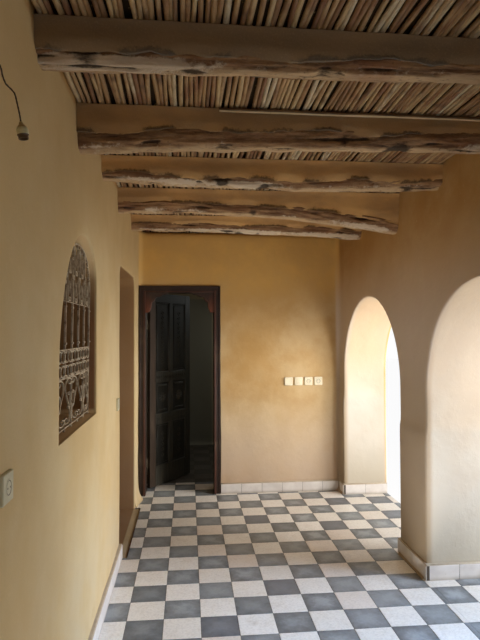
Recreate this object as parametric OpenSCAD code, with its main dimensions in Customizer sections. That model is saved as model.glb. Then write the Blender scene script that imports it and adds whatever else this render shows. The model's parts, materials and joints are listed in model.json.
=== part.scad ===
// Arcaded gallery of an adobe house, with the small room at its far end.
// X runs across the gallery, with the arcade on the +X side. Y runs along it,
// with the open entrance arch at the -Y end and the room at the +Y end.
// Z is up, and z = 0 is the ground that the base stands on.
// Heights named "above the floor" are measured from the top of the floor tiles.

/* [Plan] */
// Clear width of the gallery between its two long walls
gallery_w = 1970; // [1600:10:2400]
// Thickness of the earth walls
wall_t = 420; // [340:10:520]
// Clear width of each arch
arch_w = 1380; // [1100:10:1500]
// Length of a pier between two arches
pier_len = 420; // [340:10:600]
// Piece of arcade wall between the end wall and the first arch
far_stub = 150; // [120:10:400]
// Piece of arcade wall between the last arch and the entrance wall
near_stub = 200; // [120:10:400]
// Clear length of the room behind the end wall
room_len = 1900; // [1500:10:2600]

/* [Levels] */
// Height of the base under the floor tiles
base_h = 130; // [100:5:300]
// Thickness of the floor tiles
tile_t = 20; // [15:1:30]
// Springing of the arches above the floor
arch_spring = 1158; // [1000:2:1300]
// Masonry between the taller opening and the wall heads that hold the beams
head_rise = 160; // [120:5:200]
// Height of the course of wall heads up to the underside of the canes
beam_course = 340; // [320:5:420]
// Thickness of the layer of canes
cane_t = 26; // [18:1:40]
// Thickness of the roof earth along the window wall
earth_high = 170; // [120:5:260]
// Thickness of the roof earth along the arcade
earth_low = 130; // [90:5:200]
// Height of the parapets above the canes
parapet_h = 420; // [340:10:600]
// Radius of the rounded top edges of the parapets
coping_r = 90; // [40:5:150]

/* [Window] */
// Distance from the end wall to the highest point of the window
window_dist = 2665; // [2600:5:2900]
// From that point to the jamb on the entrance side
window_near = 530; // [400:5:600]
// From that point to the jamb on the room side
window_far = 285; // [250:5:400]
// Sill above the floor
window_sill = 1140; // [900:5:1250]
// Highest point of the window above the floor
window_top = 2020; // [1900:5:2080]
// Rise of the long flank of the head, on the entrance side
window_rise_near = 650; // [500:5:700]
// Rise of the short flank of the head, on the room side
window_rise_far = 200; // [150:5:400]

/* [Grille] */
// Depth of the grille behind the wall face
grille_inset = 40; // [20:1:80]
// Thickness of the grille's bars
grille_bar = 12; // [8:1:18]
// Number of spaces between the upright bars
grille_spaces = 6; // [4:1:8]
// Height of the bottom rail above the sill
grille_foot = 14; // [8:1:40]
// Rails above the sill: top of the lower scrolls
rail_1 = 225; // [180:5:260]
// Rails above the sill: top of the band of small scrolls
rail_2 = 345; // [300:5:400]
// Rails above the sill: foot of the head scrolls
rail_3 = 550; // [480:5:620]
// Gap between the grille and the plaster around it
grille_gap = 0.3; // [0.1:0.1:3]
// Thickness of the shutter boards behind the window
shutter_t = 35; // [25:1:50]
// Depth of the shutters and the side door behind the outer wall face
board_inset = 60; // [30:5:120]

/* [Side doorway] */
// Distance from the end wall to the doorway's jamb on the room side
doorway_dist = 350; // [300:10:420]
// Clear width of the doorway
doorway_w = 1070; // [900:10:1100]
// Head of the doorway above the floor
doorway_h = 2040; // [1950:5:2100]
// Radius of the soft corners of its head
doorway_r = 90; // [40:5:160]
// Depth of the doorway's worn floor below the tiles
step_drop = 12; // [4:1:12]
// Strip of that worn floor on the gallery's side of the wall face
step_strip = 50; // [20:5:80]
// Thickness of the side door's planks
plank_t = 40; // [30:1:60]
// Gap between boards and the opening that they close
board_gap = 3; // [2:0.5:6]

/* [End door] */
// Clear width of the opening in the end wall
portal_w = 786; // [760:2:900]
// Clear height of the opening in the end wall above the floor
portal_h = 2012; // [1950:2:2080]
// Width of the frame's face
frame_face = 62; // [50:1:80]
// How far the frame stands proud of the plaster
frame_proud = 20; // [10:1:30]
// Depth of the frame in the wall
frame_depth = 170; // [140:5:200]
// Gap between the frame and the wall around it
frame_gap = 2; // [0.3:0.1:4]
// Thickness of the carved corner boards
lobe_t = 22; // [15:1:30]
// How far the corner boards stand behind the frame's face
lobe_back = 10; // [2:1:20]
// Height of the carved corner boards
lobe_h = 200; // [150:5:240]
// Width of the carved corner boards
lobe_w = 225; // [180:5:260]
// Width of the leaf
leaf_w = 690; // [680:1:700]
// Thickness of the leaf
leaf_t = 38; // [30:1:45]
// How far the leaf covers the frame at its head
leaf_lap = 14; // [5:1:25]
// Gap under the leaf
leaf_under = 12; // [6:1:20]
// Gap between the shut leaf and the frame
leaf_gap = 6; // [5:0.5:10]
// Angle at which the leaf stands open
leaf_open = 55; // [0:1:88]
// Width of the leaf's stiles
stile_w = 88; // [70:1:110]
// Width of the leaf's middle stile
mid_stile_w = 58; // [40:1:80]
// Height of the leaf's bottom rail
base_rail = 190; // [120:5:240]
// Height of its other rails
rail_h = 95; // [70:5:120]
// Height of the leaf's middle panels
mid_panel_h = 330; // [240:5:380]
// Height of the leaf's bottom panels
low_panel_h = 430; // [300:5:480]
// Depth of the groove round each panel
panel_sink = 9; // [5:1:11]
// Width of that groove
panel_groove = 16; // [10:1:24]

/* [Hinges] */
// Radius of a hinge knuckle
knuckle_r = 8; // [6:0.5:10]
// Length of a hinge knuckle
knuckle_len = 46; // [30:2:60]
// Radius of a hinge pin
pin_r = 4; // [3:0.5:5]
// Play around a hinge pin
pin_play = 0.4; // [0.3:0.1:1]
// Thickness of the hinge plates
strap_t = 3; // [2:0.5:5]
// Length of the hinge plates on the leaf
strap_len = 120; // [80:5:200]
// Height of the lower hinge above the floor
hinge_low = 260; // [200:5:400]
// Height of the upper hinge above the floor
hinge_high = 1640; // [1500:5:1750]

/* [Beams] */
// Radius of a roof log
log_r = 66; // [55:1:75]
// Length of a log's end inside each wall
bearing = 250; // [180:5:300]
// Gap around a log's end in its pocket
pocket_gap = 4; // [2:0.5:8]
// Cover of the mud rib on the sides of a log
rib_cover = 14; // [8:1:25]
// Gap between a log and the mud rib over it
rib_gap = 0.3; // [0.1:0.1:1]
// Least cover of mud between a log's back and the canes
rib_back = 8; // [4:1:12]
// Radius of the pole that lies under the canes beside a log
pole_r = 11; // [8:0.5:16]
// Length of that pole from the arcade
pole_len = 1360; // [800:10:1600]
// Number of the log that it lies beside, counted from the end wall
pole_log = 4; // [1:1:7]
// Gap between the pole and its neighbours
pole_gap = 0.3; // [0.1:0.1:1]

/* [Fittings] */
// Height of the skirting tiles
skirting_h = 100; // [80:5:140]
// Thickness of the skirting tiles
skirting_t = 20; // [10:1:30]
// Side of a wall plate
plate_side = 80; // [70:1:90]
// Thickness of a wall plate
plate_t = 9; // [6:1:14]
// Centre of the plates above the floor
plate_level = 1076; // [900:2:1300]
// Distance from one plate to the next
plate_pitch = 99; // [92:1:120]
// Distance from the arcade to the nearest plate's centre
plate_dist = 217; // [150:1:400]
// Distance from the side doorway to the plate beside it
plate_jamb = 130; // [60:5:250]
// Distance from the end wall to the socket towards the entrance
socket_dist = 3780; // [3400:10:4200]
// Height of that socket above the floor
socket_level = 1154; // [900:2:1300]
// Radius of the lamp holder's body
holder_r = 15; // [12:1:20]
// Height of the lamp holder
holder_h = 44; // [36:1:60]
// Radius of the hole for the lamp
holder_bore = 10; // [8:0.5:11]
// Diameter of the lamp's flex
flex_d = 4.5; // [4:0.5:6]

/* [Hidden] */

// Colours of the materials
PLASTER = [0.72, 0.58, 0.38];
EARTH = [0.60, 0.47, 0.31];
TILE = [0.80, 0.78, 0.68];
LOG_WOOD = [0.42, 0.31, 0.21];
CANE = [0.66, 0.56, 0.38];
DARK_WOOD = [0.25, 0.15, 0.11];
IRON = [0.36, 0.32, 0.28];
CREAM = [0.88, 0.86, 0.78];

// Three arches, because each is a named piece of its own
BAYS = 3;
// Small overlap used only where one cut must pass right through a piece
CUT = 1;

// Plan, worked out from the sizes above
arcade_len = far_stub + BAYS * arch_w + (BAYS - 1) * pier_len + near_stub;
outer_w = gallery_w + 2 * wall_t;
outer_len = arcade_len + room_len + 3 * wall_t;
x_in = gallery_w / 2;
x_out = outer_w / 2;
y_front = -outer_len / 2;
y_back = outer_len / 2;
y_gallery = y_front + wall_t;
y_end = y_gallery + arcade_len;
y_room = y_end + wall_t;
y_room_back = y_room + room_len;

// Levels
floor_z = base_h + tile_t;
spring_z = floor_z + arch_spring;
tallest_opening = max(doorway_h, window_top);
head_z = floor_z + tallest_opening + head_rise;
cane_z = head_z + beam_course;
canes_top = cane_z + cane_t;
parapet_z = canes_top + parapet_h;
arch_r = arch_w / 2;

// Far edge of arch number n, counted from the end wall
function arch_far(n) = y_end - far_stub - (n - 1) * (arch_w + pier_len);
function arch_near(n) = arch_far(n) - arch_w;
function pier_mid(n) = arch_near(n) - pier_len / 2;

// Window and side doorway in the window wall
window_y = y_end - window_dist;
window_y_near = window_y - window_near;
window_y_far = window_y + window_far;
doorway_y_far = y_end - doorway_dist;
doorway_y_near = doorway_y_far - doorway_w;
board_x = -x_out + board_inset;
step_z = floor_z - step_drop;

// End door: the opening starts at the window wall's face
portal_x = -x_in + portal_w;
frame_x0 = -x_in + frame_gap;
frame_x1 = portal_x - frame_gap;
frame_top = floor_z + portal_h - frame_gap;
frame_front = y_end - frame_proud;
frame_back = frame_front + frame_depth + frame_proud;
leaf_top = frame_top - frame_face + leaf_lap;
leaf_bottom = floor_z + leaf_under;
leaf_h = leaf_top - leaf_bottom;

// Hinge axis: beside the edge and the back face of the shut leaf
hinge_out = 8;
hinge_back = 4;
hinge_x = frame_x0 + frame_face - hinge_out;
hinge_y = frame_back + leaf_gap + leaf_t + hinge_back;

// Logs: distance of the middle from the end wall, then how far the log hangs
// below the canes at the window wall, at mid span and at the arcade
LOGS = [
    [650, 120, 135, 168],
    [1480, 162, 168, 278],
    [2150, 122, 152, 128],
    [2820, 188, 148, 136],
    [3470, 132, 120, 98],
    [4130, 148, 162, 138],
    [4790, 128, 144, 154]];
// Room logs: distance of the middle from the room's front face, then the same
ROOM_LOGS = [
    [560, 142, 154, 136],
    [1280, 134, 146, 150]];
RING_SIDES = 12;
RINGS = 8;
// Route of the lamp's flex, from the wall face down to the lamp holder
FLEX_ROUTE = [
    [-985, -2372, 2372], [-979, -2372, 2372], [-974, -2369, 2369], [-972, -2364, 2361],
    [-972, -2358, 2351], [-970, -2353, 2342], [-967, -2348, 2333], [-961, -2345, 2327],
    [-955, -2341, 2322], [-949, -2338, 2315], [-946, -2336, 2306], [-944, -2335, 2296],
    [-942, -2334, 2286], [-940, -2333, 2276], [-938, -2332, 2266], [-936, -2332, 2255],
    [-934, -2332, 2243]];
FLEX_SIDES = 8;
// Cusps of a corner board, as shares of its width and height from its lower tip
LOBE_CUSPS = [[0.15, 0.03], [0.26, 0.50], [0.46, 0.76], [0.74, 0.87], [1, 0.97]];
// Bow of each lobe between two cusps, as a share of its length
LOBE_BOW = 0.09;
// Lip by which the mud reaches below the middle of a log
rib_lip = 8;
// Slow swelling of a log as a share of its radius
SWELL = 0.07;

// A block between two corners
module block(low, high) {
    translate(low) cube(high - low);
}

// Points of an arc in a plane
function arc(cx, cy, rx, ry, from, to, steps) =
    [for (i = [0:steps]) let (a = from + (to - from) * i / steps) [cx + rx * cos(a), cy + ry * sin(a)]];

// An outline in Y and Z, extruded along X from x0 to x1
module along_x(x0, x1, points) {
    translate([x0, 0, 0]) rotate([90, 0, 90]) linear_extrude(x1 - x0) polygon(points);
}

// An outline in X and Z, extruded along Y from y0 to y1
module along_y(y0, y1, points) {
    translate([0, y1, 0]) rotate([90, 0, 0]) linear_extrude(y1 - y0) polygon(points);
}

// Outline of the window, shrunk by a gap: a long flank towards the entrance
// and a short flank towards the room meet at the highest point
function window_outline(gap, foot) = concat(
    [[window_y - window_near + gap, foot]],
    arc(window_y, floor_z + window_top - window_rise_near, window_near - gap, window_rise_near - gap, 180, 90, 9),
    arc(window_y, floor_z + window_top - window_rise_far, window_far - gap, window_rise_far - gap, 80, 0, 8),
    [[window_y + window_far - gap, foot]]);

// Outline of the side doorway, shrunk by a gap, with soft upper corners
function doorway_outline(gap, foot) = concat(
    [[doorway_y_near + gap, foot]],
    arc(doorway_y_near + doorway_r, floor_z + doorway_h - doorway_r, doorway_r - gap, doorway_r - gap, 180, 90, 6),
    arc(doorway_y_far - doorway_r, floor_z + doorway_h - doorway_r, doorway_r - gap, doorway_r - gap, 90, 0, 6),
    [[doorway_y_far - gap, foot]]);

// Underside of a log at t, which runs from 0 at the window wall to 1 at the
// arcade, as a parabola through its three heights
function log_under(l, t) = let (u = min(1, max(0, t)))
    cane_z - l[1] * (1 - u) * (1 - 2 * u) - l[2] * 4 * u * (1 - u) - l[3] * u * (2 * u - 1);
// Radius of a log there, with one slow swelling that differs from log to log,
// hewn where it would reach the canes
function log_radius(l, t) = let (u = min(1, max(0, t)))
    min(log_r * (1 + SWELL * sin(540 * u + l[0]) * (u > 0 && u < 1 ? 1 : 0)),
        (cane_z - rib_back - log_under(l, u)) / 2);

// Places of a log's rings: one in each wall, one at each face, the rest between
ring_x = concat([-x_in - bearing], [for (i = [0:RINGS]) -x_in + gallery_w * i / RINGS], [x_in + bearing]);

// Triangles that close a skin between rings of n points, with flat ends
function skin_faces(rings, n) = concat(
    [for (r = [0:rings - 2], i = [0:n - 1]) [r * n + i, r * n + (i + 1) % n, (r + 1) * n + i]],
    [for (r = [0:rings - 2], i = [0:n - 1]) [r * n + (i + 1) % n, (r + 1) * n + (i + 1) % n, (r + 1) * n + i]],
    [[for (i = [n - 1:-1:0]) i]],
    [[for (i = [0:n - 1]) (rings - 1) * n + i]]);

module log(l, y) {
    points = [for (x = ring_x, i = [0:RING_SIDES - 1])
        let (t = (x + x_in) / gallery_w, r = log_radius(l, t), a = -90 + i * 360 / RING_SIDES)
        [x, y + r * cos(a), log_under(l, t) + r + r * sin(a)]];
    polyhedron(points, skin_faces(len(ring_x), RING_SIDES));
}

// The mud rib between a log and the canes: a saddle over the log's upper half
module rib(l, y) {
    stations = [for (i = [0:RINGS]) i / RINGS];
    half = RING_SIDES / 2;
    points = [for (t = stations)
        let (r = log_radius(l, t), c = log_under(l, t) + r, x = -x_in + gallery_w * t, w = r + rib_cover)
        each concat(
            [[x, y + w, c - rib_lip], [x, y + w, cane_z], [x, y - w, cane_z], [x, y - w, c - rib_lip]],
            [for (i = [half:-1:0]) let (a = i * 180 / half, q = r + rib_gap) [x, y + q * cos(a), c + q * sin(a)]])];
    polyhedron(points, skin_faces(RINGS + 1, half + 5));
}

// A bar of the given radius swept along a route, with a flat end at each end
module swept_bar(route, r, n) {
    last = len(route) - 1;
    points = [for (i = [0:last])
        let (ahead = route[min(i + 1, last)] - route[max(i - 1, 0)], d = ahead / norm(ahead),
            across = cross([0, 1, 0], d), u = across / norm(across), v = cross(d, u))
        for (k = [0:n - 1]) let (a = 360 * k / n) route[i] + r * (u * cos(a) + v * sin(a))];
    polyhedron(points, skin_faces(last + 1, n));
}

// Pocket for a log's end in the wall head, open towards the gallery
module pocket(l, y, side) {
    t = side < 0 ? 0 : 1;
    wide = log_radius(l, t) + pocket_gap;
    low = log_under(l, t);
    x0 = side * (x_in - CUT);
    x1 = side * (x_in + bearing + pocket_gap);
    block([min(x0, x1), y - wide, low], [max(x0, x1), y + wide, low + 2 * log_radius(l, t) + pocket_gap]);
}

// A wall head over a long wall: beam pockets below, a rounded parapet above
module wall_head(side) {
    inner = side * x_in;
    outer = side * x_out;
    low = min(inner, outer);
    high = max(inner, outer);
    difference() {
        along_y(y_front, y_back, concat(
            [[low, head_z], [high, head_z]],
            arc(high - coping_r, parapet_z - coping_r, coping_r, coping_r, 0, 90, 5),
            arc(low + coping_r, parapet_z - coping_r, coping_r, coping_r, 90, 180, 5)));
        for (l = LOGS) pocket(l, y_end - l[0], side);
        for (l = ROOM_LOGS) pocket(l, y_room + l[0], side);
    }
}

// A short parapet between the two long ones
module cross_parapet(y0, y1) {
    along_x(-x_in, x_in, concat(
        [[y0, cane_z], [y1, cane_z]],
        arc(y1 - coping_r, parapet_z - coping_r, coping_r, coping_r, 0, 90, 5),
        arc(y0 + coping_r, parapet_z - coping_r, coping_r, coping_r, 90, 180, 5)));
}

// Masonry over an arch, from the springing to the level of the wall heads
module arcade_arch(n) {
    far = n == 1 ? y_end : pier_mid(n - 1);
    near = n == BAYS ? y_front : pier_mid(n);
    difference() {
        block([x_in, near, spring_z], [x_out, far, head_z]);
        translate([x_in - CUT, arch_far(n) - arch_r, spring_z]) rotate([0, 90, 0])
            cylinder(r = arch_r, h = wall_t + 2 * CUT, $fn = 96);
    }
}

module base() {
    color(EARTH) block([-x_out, y_front, 0], [x_out, y_back, base_h]);
}

// Tiles between the long walls, with a tongue through each arch
module gallery_floor() {
    color(TILE) {
        block([-x_in, y_front, base_h], [x_in, y_gallery, floor_z]);
        difference() {
            block([-x_in, y_gallery, base_h], [x_in, y_end, floor_z]);
            block([-x_in - CUT, doorway_y_near, base_h - CUT], [-x_in + step_strip, doorway_y_far, floor_z + CUT]);
        }
        for (n = [1:BAYS]) block([x_in - CUT, arch_near(n), base_h], [x_out, arch_far(n), floor_z]);
        block([-x_in, y_end - CUT, base_h], [portal_x, y_room, floor_z]);
    }
}

module room_floor() {
    color(TILE) block([-x_in, y_room, base_h], [x_in, y_room_back, floor_z]);
}

module window_wall_near() {
    color(PLASTER) block([-x_out, y_front, base_h], [-x_in, window_y_near, head_z]);
}

module window_wall_below() {
    color(PLASTER) block([-x_out, window_y_near, base_h], [-x_in, window_y_far, floor_z + window_sill]);
}

module window_wall_above() {
    color(PLASTER) difference() {
        block([-x_out, window_y_near, floor_z + window_top - window_rise_near], [-x_in, window_y_far, head_z]);
        along_x(-x_out - CUT, -x_in + CUT, window_outline(0, floor_z + window_sill));
    }
}

module window_wall_middle() {
    color(PLASTER) block([-x_out, window_y_far, base_h], [-x_in, doorway_y_near, head_z]);
}

module side_doorway_head() {
    color(PLASTER) difference() {
        block([-x_out, doorway_y_near, floor_z + doorway_h - doorway_r], [-x_in, doorway_y_far, head_z]);
        along_x(-x_out - CUT, -x_in + CUT, doorway_outline(0, floor_z));
    }
}

module window_wall_far() {
    color(PLASTER) block([-x_out, doorway_y_far, base_h], [-x_in, y_end, head_z]);
}

module end_wall() {
    color(PLASTER) block([portal_x, y_end, base_h], [x_in, y_room, cane_z]);
}

module end_wall_over_door() {
    color(PLASTER) block([-x_in, y_end, floor_z + portal_h], [portal_x, y_room, cane_z]);
}

// Piers between the arches, and the stubs against the two end walls
module arcade_piers() {
    color(PLASTER) {
        block([x_in, arch_far(1), base_h], [x_out, y_end, spring_z]);
        for (n = [1:BAYS - 1]) block([x_in, arch_far(n + 1), base_h], [x_out, arch_near(n), spring_z]);
        block([x_in, y_front, base_h], [x_out, arch_near(BAYS), spring_z]);
    }
}

module arch_1() {
    color(PLASTER) arcade_arch(1);
}

module arch_2() {
    color(PLASTER) arcade_arch(2);
}

module arch_3() {
    color(PLASTER) arcade_arch(3);
}

module entrance_piers() {
    color(PLASTER) for (side = [0, 1]) mirror([side, 0, 0])
        block([arch_r, y_front, floor_z], [x_in, y_gallery, spring_z]);
}

module entrance_arch() {
    color(PLASTER) difference() {
        block([-x_in, y_front, spring_z], [x_in, y_gallery, cane_z]);
        translate([0, y_front - CUT, spring_z]) rotate([-90, 0, 0])
            cylinder(r = arch_r, h = wall_t + 2 * CUT, $fn = 96);
    }
}

module room_side_walls() {
    color(PLASTER) for (side = [0, 1]) mirror([side, 0, 0])
        block([x_in, y_end, base_h], [x_out, y_back, head_z]);
}

module room_back_wall() {
    color(PLASTER) block([-x_in, y_room_back, base_h], [x_in, y_back, cane_z]);
}

module wall_head_window_side() {
    color(PLASTER) wall_head(-1);
}

module wall_head_arcade_side() {
    color(PLASTER) wall_head(1);
}

module parapet_entrance() {
    color(PLASTER) cross_parapet(y_front, y_gallery);
}

module parapet_room() {
    color(PLASTER) cross_parapet(y_room_back, y_back);
}

module gallery_beams() {
    color(LOG_WOOD) for (l = LOGS) log(l, y_end - l[0]);
}

module room_beams() {
    color(LOG_WOOD) for (l = ROOM_LOGS) log(l, y_room + l[0]);
}

module beam_plaster() {
    color(EARTH) {
        for (l = LOGS) rib(l, y_end - l[0]);
        for (l = ROOM_LOGS) rib(l, y_room + l[0]);
    }
}

// A thin pole that lies along one log, right under the canes
module ceiling_pole() {
    l = LOGS[pole_log - 1];
    clear = log_r * (1 + SWELL) + rib_cover + pole_gap + pole_r;
    color(LOG_WOOD) translate([x_in - pole_gap - pole_len, y_end - l[0] - clear, cane_z - pole_gap - pole_r])
        rotate([0, 90, 0]) cylinder(r = pole_r, h = pole_len, $fn = 24);
}

module cane_ceiling() {
    color(CANE) block([-x_in, y_gallery, cane_z], [x_in, y_room_back, canes_top]);
}

// Roof earth, which falls towards the arcade
module roof_earth() {
    color(EARTH) along_y(y_gallery, y_room_back, [
        [-x_in, canes_top], [x_in, canes_top], [x_in, canes_top + earth_low], [-x_in, canes_top + earth_high]]);
}

// Upright bars and rails inside a bar bent to the window's outline
module window_grille() {
    sill = floor_z + window_sill;
    x0 = -x_in - grille_inset - grille_bar;
    x1 = -x_in - grille_inset;
    span = window_near + window_far - 2 * grille_gap;
    pitch = (span - grille_bar) / grille_spaces;
    color(IRON) {
        difference() {
            along_x(x0, x1, window_outline(grille_gap, sill + grille_foot));
            along_x(x0 - CUT, x1 + CUT, window_outline(grille_gap + grille_bar, sill + grille_foot + grille_bar));
        }
        intersection() {
            along_x(x0, x1, window_outline(grille_gap, sill));
            union() {
                for (i = [0:grille_spaces]) {
                    y = window_y_near + grille_gap + i * pitch;
                    block([x0, y, sill], [x1, y + grille_bar, floor_z + window_top]);
                }
                for (level = [rail_1, rail_2, rail_3])
                    block([x0, window_y_near, sill + level], [x1, window_y_far, sill + level + grille_bar]);
            }
        }
    }
}

module window_shutters() {
    sill = floor_z + window_sill;
    color(DARK_WOOD) along_x(board_x, board_x + shutter_t, window_outline(board_gap, sill));
}

module side_door() {
    color(DARK_WOOD) along_x(board_x, board_x + plank_t, doorway_outline(board_gap, step_z));
}

// Worn earth floor of the side doorway, a little lower than the tiles
module side_door_step() {
    color(EARTH) block([-x_out, doorway_y_near, base_h], [-x_in + step_strip, doorway_y_far, step_z]);
}

// Two jambs and a head round the clear opening
module door_frame() {
    color(DARK_WOOD) along_y(frame_front, frame_back, [
        [frame_x0, floor_z], [frame_x0, frame_top], [frame_x1, frame_top], [frame_x1, floor_z],
        [frame_x1 - frame_face, floor_z], [frame_x1 - frame_face, frame_top - frame_face],
        [frame_x0 + frame_face, frame_top - frame_face], [frame_x0 + frame_face, floor_z]]);
}

// Points of one lobe between two cusps, bowed into the opening
function lobe(p, q) = [for (i = [1:5])
    let (t = i / 5, side = [q[1] - p[1], p[0] - q[0]]) p + (q - p) * t + side * LOBE_BOW * sin(180 * t)];

// Lobed corner board: its lobes step from the jamb up to the head
module lobe_board() {
    head = frame_top - frame_face;
    jamb = frame_x0 + frame_face;
    cusps = [for (c = LOBE_CUSPS) [jamb + c[0] * lobe_w, head - lobe_h + c[1] * lobe_h]];
    along_y(frame_front + lobe_back, frame_front + lobe_back + lobe_t, concat(
        [[jamb + lobe_w, head], [jamb, head], [jamb, head - lobe_h], cusps[0]],
        [for (i = [0:len(cusps) - 2]) each lobe(cusps[i], cusps[i + 1])]));
}

module door_lobes() {
    middle = (frame_x0 + frame_x1) / 2;
    color(DARK_WOOD) {
        lobe_board();
        translate([middle, 0, 0]) mirror([1, 0, 0]) translate([-middle, 0, 0]) lobe_board();
    }
}

// The shut leaf stands with its hinge axis at the origin
module at_hinge() {
    translate([hinge_x, hinge_y, 0]) rotate([0, 0, leaf_open]) children();
}

leaf_x0 = hinge_out;
leaf_y1 = -hinge_back;
leaf_y0 = leaf_y1 - leaf_t;

// Groove that raises one panel out of the leaf
module panel_ring(x0, x1, z0, z1) {
    for (face = [leaf_y0 - CUT, leaf_y1 - panel_sink]) difference() {
        block([x0, face, z0], [x1, face + panel_sink + CUT, z1]);
        block([x0 + panel_groove, face - CUT, z0 + panel_groove],
            [x1 - panel_groove, face + panel_sink + 3 * CUT, z1 - panel_groove]);
    }
}

module door_leaf() {
    panel_w = (leaf_w - 2 * stile_w - mid_stile_w) / 2;
    low_0 = leaf_bottom + base_rail;
    low_1 = low_0 + low_panel_h;
    mid_0 = low_1 + rail_h;
    mid_1 = mid_0 + mid_panel_h;
    top_0 = mid_1 + rail_h;
    top_1 = leaf_top - rail_h;
    color(DARK_WOOD) at_hinge() difference() {
        block([leaf_x0, leaf_y0, leaf_bottom], [leaf_x0 + leaf_w, leaf_y1, leaf_top]);
        for (column = [0, 1]) {
            x0 = leaf_x0 + stile_w + column * (panel_w + mid_stile_w);
            panel_ring(x0, x0 + panel_w, low_0, low_1);
            panel_ring(x0, x0 + panel_w, mid_0, mid_1);
            panel_ring(x0, x0 + panel_w, top_0, top_1);
        }
    }
}

// Moving half of each hinge: a bored knuckle with a plate on the leaf's back
module door_straps() {
    color(IRON) at_hinge() for (level = [hinge_low, hinge_high]) translate([0, 0, floor_z + level]) {
        difference() {
            union() {
                cylinder(r = knuckle_r, h = knuckle_len, $fn = 32);
                block([0, leaf_y1, 0], [leaf_x0 + strap_len, leaf_y1 + strap_t, knuckle_len]);
            }
            translate([0, 0, -CUT]) cylinder(r = pin_r + pin_play, h = knuckle_len + 2 * CUT, $fn = 32);
        }
    }
}

// Fixed half of each hinge: a knuckle with its pin, and a plate on the frame
module door_hinge_pins() {
    rest_gap = 0.5;
    color(IRON) translate([hinge_x, hinge_y, 0]) for (level = [hinge_low, hinge_high])
        translate([0, 0, floor_z + level - knuckle_len - rest_gap]) {
            cylinder(r = knuckle_r, h = knuckle_len, $fn = 32);
            cylinder(r = pin_r, h = 2 * knuckle_len, $fn = 32);
            block([-knuckle_r, frame_back - hinge_y, 0], [-knuckle_r + strap_t, 0, knuckle_len]);
        }
}

module skirting_window_side() {
    color(CREAM) block([-x_in, y_gallery, floor_z], [-x_in + skirting_t, doorway_y_near, floor_z + skirting_h]);
}

module skirting_end() {
    color(CREAM) block([portal_x, y_end - skirting_t, floor_z], [x_in - skirting_t, y_end, floor_z + skirting_h]);
}

// Tiles round the foot of each pier, on its inner face and both jambs
module pier_skirting(near, far, near_side, far_side) {
    difference() {
        block([x_in - skirting_t, near - near_side, floor_z], [x_out, far + far_side, floor_z + skirting_h]);
        block([x_in, near, floor_z - CUT], [x_out + CUT, far, floor_z + skirting_h + CUT]);
    }
}

module skirting_arcade() {
    color(CREAM) {
        pier_skirting(arch_far(1), y_end, skirting_t, 0);
        for (n = [1:BAYS - 1]) pier_skirting(arch_far(n + 1), arch_near(n), skirting_t, skirting_t);
        pier_skirting(y_gallery, arch_near(BAYS), 0, skirting_t);
    }
}

module wall_plates() {
    color(CREAM) for (i = [0:3]) {
        x = x_in - plate_dist - i * plate_pitch;
        z = floor_z + plate_level;
        block([x - plate_side / 2, y_end - plate_t, z - plate_side / 2], [x + plate_side / 2, y_end, z + plate_side / 2]);
    }
}

// Two plates on the window wall: one by the doorway, one towards the entrance
module side_plates() {
    color(CREAM) for (place = [[doorway_y_near - plate_jamb, plate_level], [y_end - socket_dist, socket_level]])
        block([-x_in, place[0] - plate_side / 2, floor_z + place[1] - plate_side / 2],
            [-x_in + plate_t, place[0] + plate_side / 2, floor_z + place[1] + plate_side / 2]);
}

module lamp_flex() {
    color(DARK_WOOD) swept_bar(FLEX_ROUTE, flex_d / 2, FLEX_SIDES);
}

// Lamp holder at the end of the flex: a cap, a collar and a bored skirt
module lamp_holder() {
    end = FLEX_ROUTE[len(FLEX_ROUTE) - 1];
    before = FLEX_ROUTE[len(FLEX_ROUTE) - 2];
    tilt = atan2(end[0] - before[0], before[2] - end[2]);
    neck = flex_d;
    color(CREAM) translate(end) rotate([0, -tilt, 0]) difference() {
        rotate_extrude($fn = 32) polygon([
            [0, 0], [neck, 0], [neck, -holder_h * 0.12], [holder_r * 0.8, -holder_h * 0.4],
            [holder_r, -holder_h * 0.5], [holder_r, -holder_h * 0.78], [holder_r * 0.82, -holder_h * 0.82],
            [holder_r * 0.82, -holder_h], [0, -holder_h]]);
        translate([0, 0, -holder_h - CUT]) cylinder(r = holder_bore, h = holder_h / 2, $fn = 32);
    }
}

base();
gallery_floor();
room_floor();
window_wall_near();
window_wall_below();
window_wall_above();
window_wall_middle();
side_doorway_head();
window_wall_far();
end_wall();
end_wall_over_door();
arcade_piers();
arch_1();
arch_2();
arch_3();
entrance_piers();
entrance_arch();
room_side_walls();
room_back_wall();
wall_head_window_side();
wall_head_arcade_side();
parapet_entrance();
parapet_room();
gallery_beams();
room_beams();
beam_plaster();
ceiling_pole();
cane_ceiling();
roof_earth();
window_grille();
window_shutters();
side_door();
side_door_step();
door_frame();
door_lobes();
door_leaf();
door_straps();
door_hinge_pins();
skirting_window_side();
skirting_end();
skirting_arcade();
wall_plates();
side_plates();
lamp_flex();
lamp_holder();
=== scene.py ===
# %% [markdown]
# An arcaded adobe gallery, dressed step by step.
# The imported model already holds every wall, log and door at its real size. This
# notebook gives those pieces their real surfaces. It starts by loading that model
# as a frame that never moves, and every new piece is placed by the frame's boxes.

import json
import math
import random

import bmesh
import bpy
import numpy as np
from mathutils import Matrix, Vector, noise


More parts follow.
